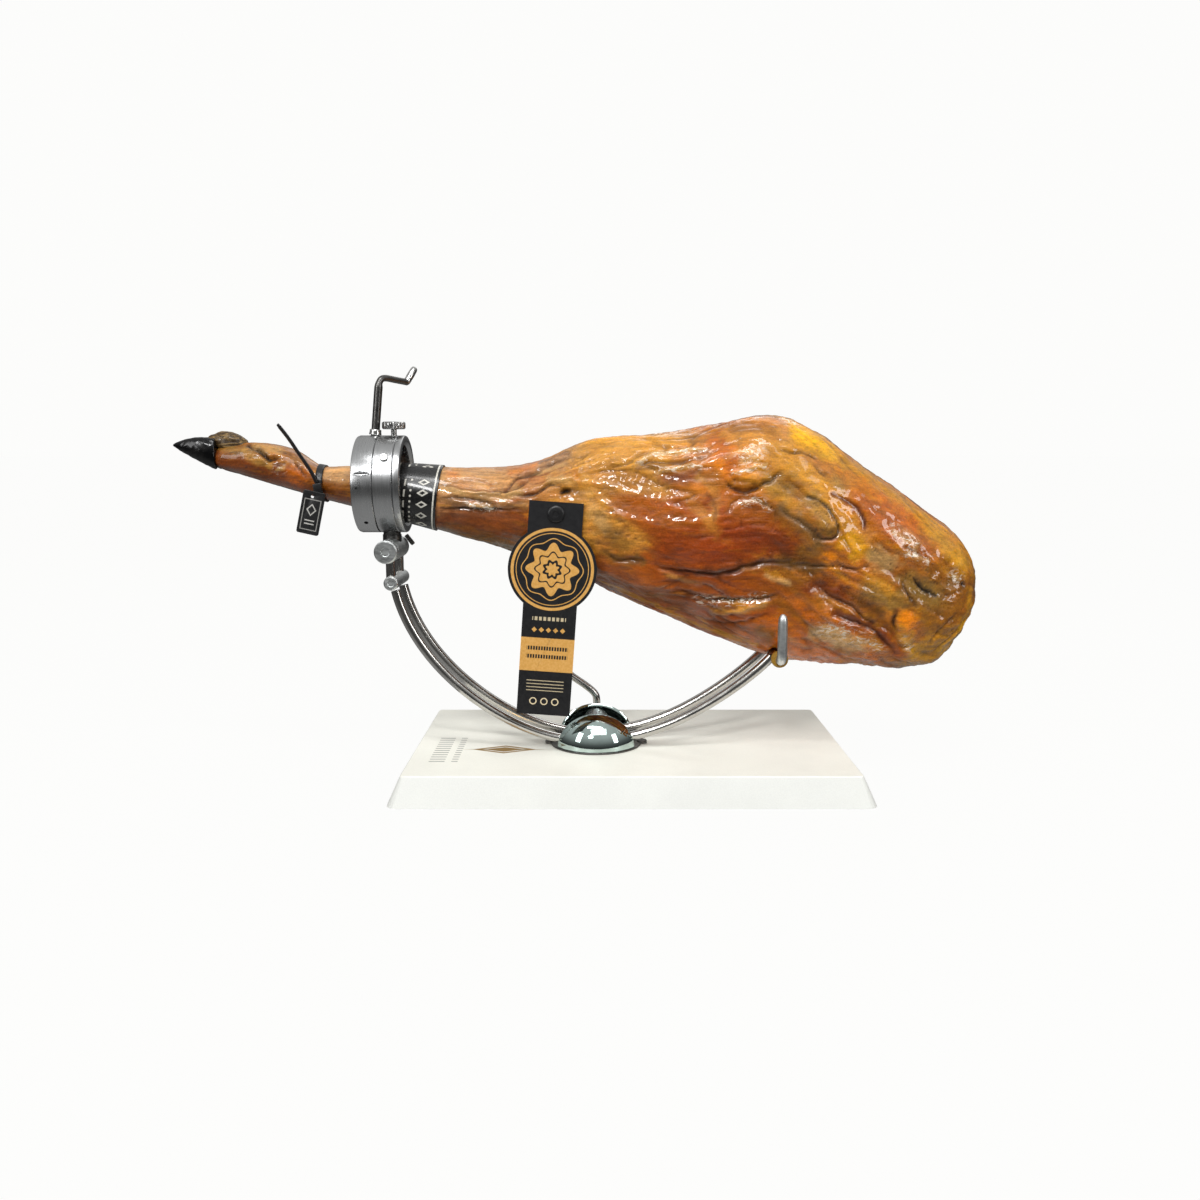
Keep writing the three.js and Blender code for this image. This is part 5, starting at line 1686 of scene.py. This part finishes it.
    (Tone.OLIVE, 6, 0.6, 148, 232, 168, 226, 188, 224),
    (Tone.BRIGHT, 6, 0.9, 278, 174, 283, 170),
    (Tone.MAHOGANY, 4, 0.5, 70, 179, 110, 173, 144, 182),
    (Tone.BLACK, 2.2, 0.5, 93, 310, 108, 298, 132, 307, 145, 317),
    (Tone.MAROON, 10, 0.45, 113, 260, 138, 252, 154, 243),
    (Tone.BONE, 7, 0.45, -21, 307, 9, 303, 34, 299),
    (Tone.BONE, 5, 0.5, 68, 313, 80, 305, 84, 291, 80, 277),
    (Tone.UMBER, 1.6, 0.5, 74, 299, 82, 286, 81, 271),
    (Tone.CARAMEL, 9, 0.7, 104, 364, 124, 364, 140, 360),
    (Tone.CARAMEL, 6, 0.6, -332, 330, -320, 322),
    (Tone.CARAMEL, 8, 0.8, 80, 314, 90, 307),
    (Tone.PEACH, 8, 0.75, 90, 293, 103, 288),
    (Tone.CREAM, 9, 0.8, 241, 237, 258, 226),
    (Tone.FAT_BRIGHT, 8, 0.6, 211, 252, 226, 242),
    (Tone.CREAM, 8, 0.5, -39, 281, -27, 267),
    (Tone.MAROON, 7, 0.75, 181, 208, 199, 202, 212, 195),
    (Tone.MAHOGANY, 6, 0.6, 220, 166, 238, 158),
    (Tone.CARAMEL, 9, 0.6, -25, 314, -6, 307, 11, 304),
    (Tone.RUSSET, 7, 0.6, 57, 194, 83, 189),
    (Tone.BEIGE, 7, 0.6, -310, 318, -295, 314),
    (Tone.RUSSET, 8, 0.6, -310, 298, -291, 292),
)

# Tones along the leg: x, then the tone near the top, in the middle and near the underside
ALONG = (
    (-424, Tone.UMBER, Tone.RUSSET, Tone.UMBER),
    (-400, Tone.CARAMEL, Tone.RUSSET, Tone.UMBER),
    (-350, Tone.CARAMEL, Tone.RUSSET, Tone.RUSSET),
    (-300, Tone.BEIGE, Tone.CARAMEL, Tone.RUSSET),
    (-190, Tone.BEIGE, Tone.ROSE, Tone.RUSSET),
    (-110, Tone.ROSE, Tone.RUST, Tone.OLIVE),
    (-50, Tone.OCHRE, Tone.OCHRE, Tone.RUSSET),
    (20, Tone.OCHRE, Tone.RUST, Tone.COPPER),
    (90, Tone.ORANGE, Tone.MAHOGANY, Tone.COPPER),
    (150, Tone.FAT, Tone.CARAMEL, Tone.ORANGE),
    (220, Tone.AMBER, Tone.PEACH, Tone.ORANGE),
    (290, Tone.ORANGE, Tone.CARAMEL, Tone.FAT_DEEP),
    (362, Tone.FAT_DEEP, Tone.CARAMEL, Tone.FAT),
)


@dataclass(frozen=True)
class Wave:
    """One noise over the leg: its length along it, its width round it and its shift in the noise."""

    length: float
    width: float
    shift: float

    def rows(self, x: np.ndarray, around: np.ndarray) -> np.ndarray:
        """Places in the noise, one a row."""
        return np.column_stack([x / self.length, around / self.width]) + self.shift


@dataclass
class Ham:
    """The cured leg: folds, creases, lumps and colours worked into a fine skin."""

    voxel: float = 2.1
    seed: int = 23
    slice_width: float = 12.0
    girth: float = 70.0
    tip: float = 250.0
    folds: Wave = Wave(62, 9.5, 0)
    fine: Wave = Wave(24, 4.4, 40)
    rolls: Wave = Wave(80, 19, 80)
    spread: Wave = Wave(60, 34, 120)
    flow: Wave = Wave(70, 17, 0)
    end_pull: float = 4.0
    roll_rise: float = 2.2
    fold_rise: float = 0.9
    groove_depth: float = 2.4
    hair_depth: float = 0.75
    groove_shade: float = 0.48
    hair_shade: float = 0.22
    dent_shade: float = 0.64
    ridge_light: float = 0.35
    full_depth: float = 2.4
    rod_start: Spot = (95.0, 85.0)
    bearers: tuple[tuple[str, float], ...] = (
        ("label_band", 3.0), ("tie_band", 2.0), ("screw_pad", 3.0), ("tag_peg", 2.0), ("tie_head", 2.0),
        ("prong_front", 3.0), ("prong_back", 3.0), ("cradle_bar", 2.0), ("arm_right_front", 0.5),
        ("arm_right_back", 0.5))

    def build(self, finishes: Finishes) -> None:
        """Builds the leg from a copy of its solid."""
        leg = Bench.copy_of("ham")
        with Bench.edit(leg, "SELECT") as mesh:
            bpy.ops.mesh.tris_convert_to_quads(face_threshold=math.radians(60),
                                               shape_threshold=math.radians(60))
            end = min(point.co.x for point in mesh.verts)
            for point in mesh.verts:
                point.select = point.co.x < end + 0.5
            bpy.ops.transform.translate(value=(-self.end_pull, 0, 0))
        Bench.apply(leg, "SUBSURF", levels=2, render_levels=2)
        Bench.apply(leg, "REMESH", mode="VOXEL", voxel_size=self.voxel)
        Bench.apply(leg, "SMOOTH", factor=0.5, iterations=8)
        self._work(leg)
        Bench.fit(leg, "ham", finishes.meat, smooth=180)

    def _work(self, leg: Piece) -> None:
        """Moves the skin's points and colours them.

        Args:
            leg: The fine skin in millimetres.
        """
        places, normals = Bench.points(leg)
        count = len(places)
        grain = Grain(self.seed)
        x, y, z = places.T
        top, bottom, middle_y = self._section(places)
        middle_z, half = (top + bottom) / 2, (top - bottom) / 2
        turn = np.arctan2(z - middle_z, middle_y - y)
        twist = 0.0052 * np.maximum(0, x - 130)
        turn = turn + twist + 0.22 * grain.at(np.column_stack([x / 90, np.cos(turn), np.sin(turn)]))
        girth = self.girth * np.where(x > self.tip, np.clip(half / 45, 0.05, 1), 1.0)
        around = np.column_stack([girth * np.cos(turn), girth * np.sin(turn)])
        slim = np.clip(half / 70, 0.3, 1.0)
        face = smooth_step(-normals[:, 1], -0.05, 0.45)

        broad = grain.at(places / 34)
        folds, fine, roll, where = (grain.at(wave.rows(x, around))
                                    for wave in (self.folds, self.fine, self.rolls, self.spread))
        where = smooth_step(where, -0.35, 0.35)
        groove = np.exp(-np.abs(folds) / 0.085) * where
        hair = np.exp(-np.abs(fine) / 0.11)
        butt = smooth_step(x, 110, 200)
        height = slim * (broad * (1 + butt) + self.roll_rise * roll - self.groove_depth * groove
                         - self.hair_depth * hair + self.fold_rise * folds)
        height += butt * 1.4 * grain.layers(places / 13 + 200, 2) + slim * 0.55 * grain.at(places / 6.5 + 260)

        front = face > 0.01
        spots = places[front][:, [0, 2]]
        shine = self._shine(spots)
        wobble = np.column_stack([grain.at(places[front] / 11 + shift) for shift in (300, 340)])
        spots = spots + 1.6 * wobble
        dent, ridge = self._creases(spots, x[front])
        ridge += 0.9 * shine * grain.at(places[front] / 3.6 + 380)
        lift, deep, pale, beads = np.zeros((4, count))
        lift[front] = (ridge - dent) * face[front]
        height = height * (1 - 0.15 * face) + lift
        crown = smooth_step(x, 120, 200) * smooth_step(z - middle_z, 20, 50)
        height *= self._quiet(places) * (1 - 0.55 * crown)
        places += normals * height[:, None]
        _, high = (np.array(corner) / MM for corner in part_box("ham"))
        places[:, 0] = np.minimum(places[:, 0], high[0])
        Bench.move(leg, places)

        share = np.clip((z - bottom) / np.maximum(top - bottom, 1), 0, 1)
        colour = self._base(x, share, grain, around)
        colour[front] = self._paint(colour[front], places[front], spots, face[front], grain)
        # painted shade in the grooves and fine creases, and painted light and shade on the rolls
        shade = 1 - self.groove_shade * groove - self.hair_shade * hair + 0.16 * np.clip(roll, -1, 1)
        colour *= shade[:, None]
        # painted shade in the creases and painted highlight on the ridges of the face
        deep[front] = np.clip(dent / self.full_depth, 0, 1) * face[front]
        pale[front] = np.clip(ridge / self.full_depth, 0, 1) * face[front]
        colour *= (1 - self.dent_shade * deep)[:, None]
        colour += (Tone.CREAM.linear - colour) * (self.ridge_light * pale)[:, None]
        beads[front] = shine * face[front]
        wet = 0.55 + 0.35 * grain.layers(places / 28 + 400, 2) + 0.2 * butt - 0.3 * deep + beads
        self._keep(leg.data, np.clip(colour, 0.004, 1), np.clip(wet, 0, 1), beads)

    @staticmethod
    def _creases(spots: np.ndarray, x: np.ndarray) -> tuple[np.ndarray, np.ndarray]:
        """Depth of the creases and height of the ridges at spots of the face, stronger on the shank."""
        dent, ridge = np.zeros((2, len(spots)))
        for width, rise, *path in CREASES:
            away, share = reach_of(path, spots)
            fade = np.clip(5 * share * (1 - share), 0.15, 1) ** 0.5
            form = 1.5 * np.exp(-(away / (0.85 * width)) ** 1.5) - 0.4 * np.exp(-(away / (2.6 * width)) ** 2)
            if rise < 0:
                dent -= rise * form * fade
            else:
                ridge += rise * form * fade
        shank = 1 + 0.7 * smooth_step(-x, 40, 90)
        return dent * shank, ridge * shank

    @staticmethod
    def _shine(spots: np.ndarray) -> np.ndarray:
        """Where the glaze shines, from 0 to 1: round the painted highlight patches of the face."""
        shine = np.zeros(len(spots))
        for tone, width, _, *path in PATCHES:
            if tone is Tone.WHITE:
                away, _ = reach_of(path, spots)
                shine = np.maximum(shine, np.exp(-(away / (1.8 * width)) ** 2))
        return shine

    def _section(self, places: np.ndarray) -> tuple[np.ndarray, np.ndarray, np.ndarray]:
        """Top, bottom and middle of the leg's section at each point."""
        x = places[:, 0]
        edges = np.arange(x.min(), x.max() + self.slice_width, self.slice_width)
        index = np.digitize(x, edges) - 1
        rows = []
        for number in range(len(edges) - 1):
            inside = places[index == number]
            if len(inside):
                rows.append((edges[number] + self.slice_width / 2, inside[:, 2].max(), inside[:, 2].min(),
                             (inside[:, 1].max() + inside[:, 1].min()) / 2))
        table = np.array(rows)
        top, bottom, middle = (np.interp(x, table[:, 0], table[:, column]) for column in (1, 2, 3))
        return top, bottom, middle

    def _quiet(self, places: np.ndarray) -> np.ndarray:
        """Share of the relief that each point keeps: none where something lies on the leg."""
        keep = np.ones(len(places))
        for node, margin in self.bearers:
            low, high = (np.array(corner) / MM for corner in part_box(node))
            if node.startswith("arm"):
                low[0], low[2] = self.rod_start
            away = np.linalg.norm(np.maximum(0, np.maximum(low - places, places - high)), axis=1)
            keep *= smooth_step(away, margin, margin + 8)
        return keep

    def _base(self, x: np.ndarray, share: np.ndarray, grain: Grain, around: np.ndarray) -> np.ndarray:
        """Tone of the leg before its hand-placed patches."""
        flow = self.flow.rows(x, around)
        x = x + 16 * grain.layers(flow + 500, 2)
        share = share + 0.16 * grain.layers(flow + 540, 2)
        stops = np.array([row[0] for row in ALONG], dtype=float)
        bands = [np.array([row[column].linear for row in ALONG]) for column in (1, 2, 3)]
        upper, middle, lower = (np.column_stack([np.interp(x, stops, band[:, part]) for part in range(3)])
                                for band in bands)
        high = smooth_step(share, 0.55, 0.85)[:, None]
        low = smooth_step(share, 0.42, 0.12)[:, None]
        colour = middle + (upper - middle) * high
        colour += (lower - colour) * low
        fat = smooth_step(grain.layers(flow * 1.4 + 600, 3), 0.30, 0.62)[:, None]
        dark = smooth_step(grain.layers(flow * 1.2 + 640, 3), 0.25, 0.75)[:, None]
        colour += (Tone.FAT.linear - colour) * 0.45 * fat
        colour += (Tone.RUSSET.linear - colour) * 0.55 * dark
        return colour

    def _paint(self, colour: np.ndarray, places: np.ndarray, spots: np.ndarray, face: np.ndarray,
               grain: Grain) -> np.ndarray:
        """Lays the patches of the face over its base tones.

        Args:
            colour: Base colours, one a row.
            places: Points in space.
            spots: The same points as the face shows them.
            face: How far each point faces the front, 0 to 1.
            grain: The noise that roughens the patches' edges.

        Returns:
            The painted colours.
        """
        ragged = np.clip(1 + 0.5 * grain.layers(places / 8 + 700, 3), 0.35, 2)
        painted = colour.copy()
        for tone, width, strength, *path in PATCHES:
            away, _ = reach_of(path, spots)
            share = strength * np.exp(-(away / width * ragged) ** 3) * face
            painted += (tone.linear * (0.92 + 0.16 * ragged[:, None] - 0.08) - painted) * share[:, None]
        return painted

    @staticmethod
    def _keep(mesh: bpy.types.Mesh, colour: np.ndarray, wet: np.ndarray, beads: np.ndarray) -> None:
        """Stores the tone, the wetness, and the extra gloss and painted glints of each point in the mesh."""
        layer = mesh.color_attributes.new("tone", "FLOAT_COLOR", "POINT")
        layer.data.foreach_set("color", np.column_stack([colour, np.ones(len(colour))]).ravel())
        for name, values in (("wet", wet), ("beads", beads)):
            mesh.attributes.new(name, "FLOAT", "POINT").data.foreach_set("value", values)


@dataclass
class Foot:
    """The two claws of the hoof and the dry dewclaws on top of the foot."""

    voxel: float = 0.9
    seed: int = 31
    roots: tuple[Point, ...] = ((-2.0, 0.0, -3.0), (-4.5, 0.0, -5.5), (3.0, 0.0, -4.0), (-7.5, 0.0, -3.0))

    def build(self, finishes: Finishes) -> None:
        """Builds the hoof from copies of its solids."""
        grain = Grain(self.seed)
        for node, finish, rise in (("hoof_front", finishes.horn, 0.35), ("hoof_back", finishes.horn, 0.35),
                                   ("dewclaw", finishes.dry_horn, 0.5)):
            claw = Bench.copy_of(node)
            Bench.apply(claw, "SUBSURF", levels=2, render_levels=2)
            if node == "dewclaw":
                for shift in self.roots:
                    root = Bench.copy_of(node)
                    Bench.apply(root, "SUBSURF", levels=1, render_levels=1)
                    Bench.place(root, shift)
                    Bench.combine(claw, root, "UNION")
            Bench.apply(claw, "REMESH", mode="VOXEL", voxel_size=self.voxel)
            Bench.apply(claw, "SMOOTH", factor=0.5, iterations=4)
            self._work(claw, grain, rise)
            Bench.fit(claw, node, finish, smooth=180)

    @staticmethod
    def _work(claw: Piece, grain: Grain, rise: float) -> None:
        """Raises growth rings and chips on a claw, always inwards."""
        places, normals = Bench.points(claw)
        lean = places[:, 0] - 0.55 * (places[:, 2] - 335)
        rings = grain.at(np.column_stack([lean / 4.5, places[:, 1] / 20, places[:, 2] / 20]))
        chips = grain.at(places / 9 + 60)
        drop = rise * (0.5 * (1 - rings) + 1.2 * np.abs(chips))
        Bench.move(claw, places - normals * drop[:, None])


@dataclass
class Studio:
    """Pale floor and background, soft light from above in front, and the camera."""

    eye: Point = (-0.0308, -1.152, 0.3447)
    pitch: float = math.radians(81.93)
    lens: float = 32.7
    sensor: float = 36.0
    floor_radius: float = 40.0
    floor_z: float = -0.0005
    backdrop: tuple[float, ...] = (0.975, 0.975, 0.965, 1.0)
    sky: tuple[Spot, ...] = ((0.0, 0.42), (0.20, 0.34), (0.34, 0.09), (0.50, 0.05), (0.57, 0.13),
                             (0.64, 0.28), (0.76, 0.50), (0.95, 0.60))
    suns: tuple[tuple[str, Point, float, float], ...] = (
        ("key", (0.35, 1.2, -0.9), 0.9, 9.0), ("back", (-0.3, -0.9, -1.2), 0.15, 25.0))
    softboxes: tuple[tuple[str, Point, Spot, float], ...] = (
        ("overhead", (-0.1, -0.8, 1.7), (1.1, 0.2), 8.0), ("broad", (0.3, -1.9, 2.4), (2.0, 1.0), 17.0),
        ("left", (-1.3, -1.1, 0.9), (0.4, 0.9), 6.5), ("right", (1.35, -1.0, 0.75), (0.35, 0.8), 6.0),
        ("rear", (0.3, 1.5, 1.4), (1.2, 0.3), 2.5))
    aim: Point = (0.02, 0.0, 0.24)

    def build(self) -> None:
        """Builds everything round the object."""
        self._camera()
        self._floor()
        self._sky()
        self._lights()
        bpy.context.scene.view_settings.view_transform = "Standard"

    def _camera(self) -> None:
        """Camera at the height and distance that the plate's edges give."""
        data = bpy.data.cameras.new("camera")
        data.lens = self.lens
        data.sensor_width = self.sensor
        data.clip_start = 0.02
        camera = bpy.data.objects.new("camera", data)
        camera.location = self.eye
        camera.rotation_euler = (self.pitch, 0.0, 0.0)
        bpy.context.collection.objects.link(camera)
        bpy.context.scene.camera = camera

    def _floor(self) -> None:
        """Wide pale floor just under the plate."""
        floor = Bench.start(bpy.ops.mesh.primitive_circle_add, vertices=128, radius=self.floor_radius,
                            fill_type="NGON")
        Bench.place(floor, (0, 0, self.floor_z))
        floor.name = "floor"
        graph = Graph("floor")
        cloud = graph.noise(graph.place(), 0.002, 3, 0.5)
        floor.data.materials.append(graph.finish({
            "Base Color": graph.mix(cloud, (0.015, 0.015, 0.015, 1.0), (0.018, 0.018, 0.018, 1.0)),
            "Roughness": 1.0,
            "Specular IOR Level": 0.0,
            "Emission Color": self.backdrop,
            "Emission Strength": 0.985,
        }))
        floor.visible_diffuse = False
        floor.visible_glossy = False

    def _sky(self) -> None:
        """Studio walls: dark below and round the sides, bright overhead, white as a background."""
        graph = Graph("studio", world=True)
        coordinates = graph.node("ShaderNodeTexCoord", {}, {})
        _, _, rise = graph.parts(Value(graph, coordinates.outputs["Generated"], Kind.VECTOR))
        stops = [(place, (level, level, level * 0.985, 1.0)) for place, level in self.sky]
        ramp = graph.node("ShaderNodeValToRGB", {"stops": stops}, {"Fac": rise * 0.5 + 0.5})
        path = graph.node("ShaderNodeLightPath", {}, {})
        seen = Value(graph, path.outputs["Is Camera Ray"])
        colour = graph.mix(seen, Value(graph, ramp.outputs[0], Kind.COLOUR), self.backdrop)
        shader = graph.node("ShaderNodeBackground", {}, {"Color": colour, "Strength": 1.0})
        graph.node("ShaderNodeOutputWorld", {}, {"Surface": Value(graph, shader.outputs[0])})
        bpy.context.scene.world = graph.owner

    def _lights(self) -> None:
        """Broad light from above in front and from behind, and softboxes that shine in the glaze."""
        for name, way, power, spread in self.suns:
            data = bpy.data.lights.new(name, "SUN")
            data.energy = power
            data.angle = math.radians(spread)
            self._aim(data, (0.0, 0.0, 2.0), way)
        for name, place, size, power in self.softboxes:
            data = bpy.data.lights.new(name, "AREA")
            data.shape = "RECTANGLE"
            data.size, data.size_y = size
            data.energy = power
            self._aim(data, place, tuple(np.array(self.aim) - np.array(place)))

    @staticmethod
    def _aim(data: bpy.types.Light, place: Point, way: Point) -> None:
        """Stands a lamp at a place, shining along a way."""
        lamp = bpy.data.objects.new(data.name, data)
        lamp.location = place
        flat = math.hypot(way[0], way[1])
        lamp.rotation_euler = (math.pi / 2 + math.atan2(way[2], flat), 0.0, math.atan2(-way[0], way[1]))
        bpy.context.collection.objects.link(lamp)


def main() -> None:
    """Builds the stand from the plate up, then the leg, and the studio round them."""
    finishes = Finishes()
    Bench.dress("base_plate", finishes.quartz)
    for assembly in (Hub, Lever, Arms, Head, Crank, Cradle, Ham, Foot, Labels, HangTag):
        assembly().build(finishes)
    Bench.dress("screw_pad", finishes.turned_steel)
    Studio().build()


if __name__ == "__main__":
    logging.basicConfig(level=logging.INFO, format="%(name)s: %(message)s")
    main()
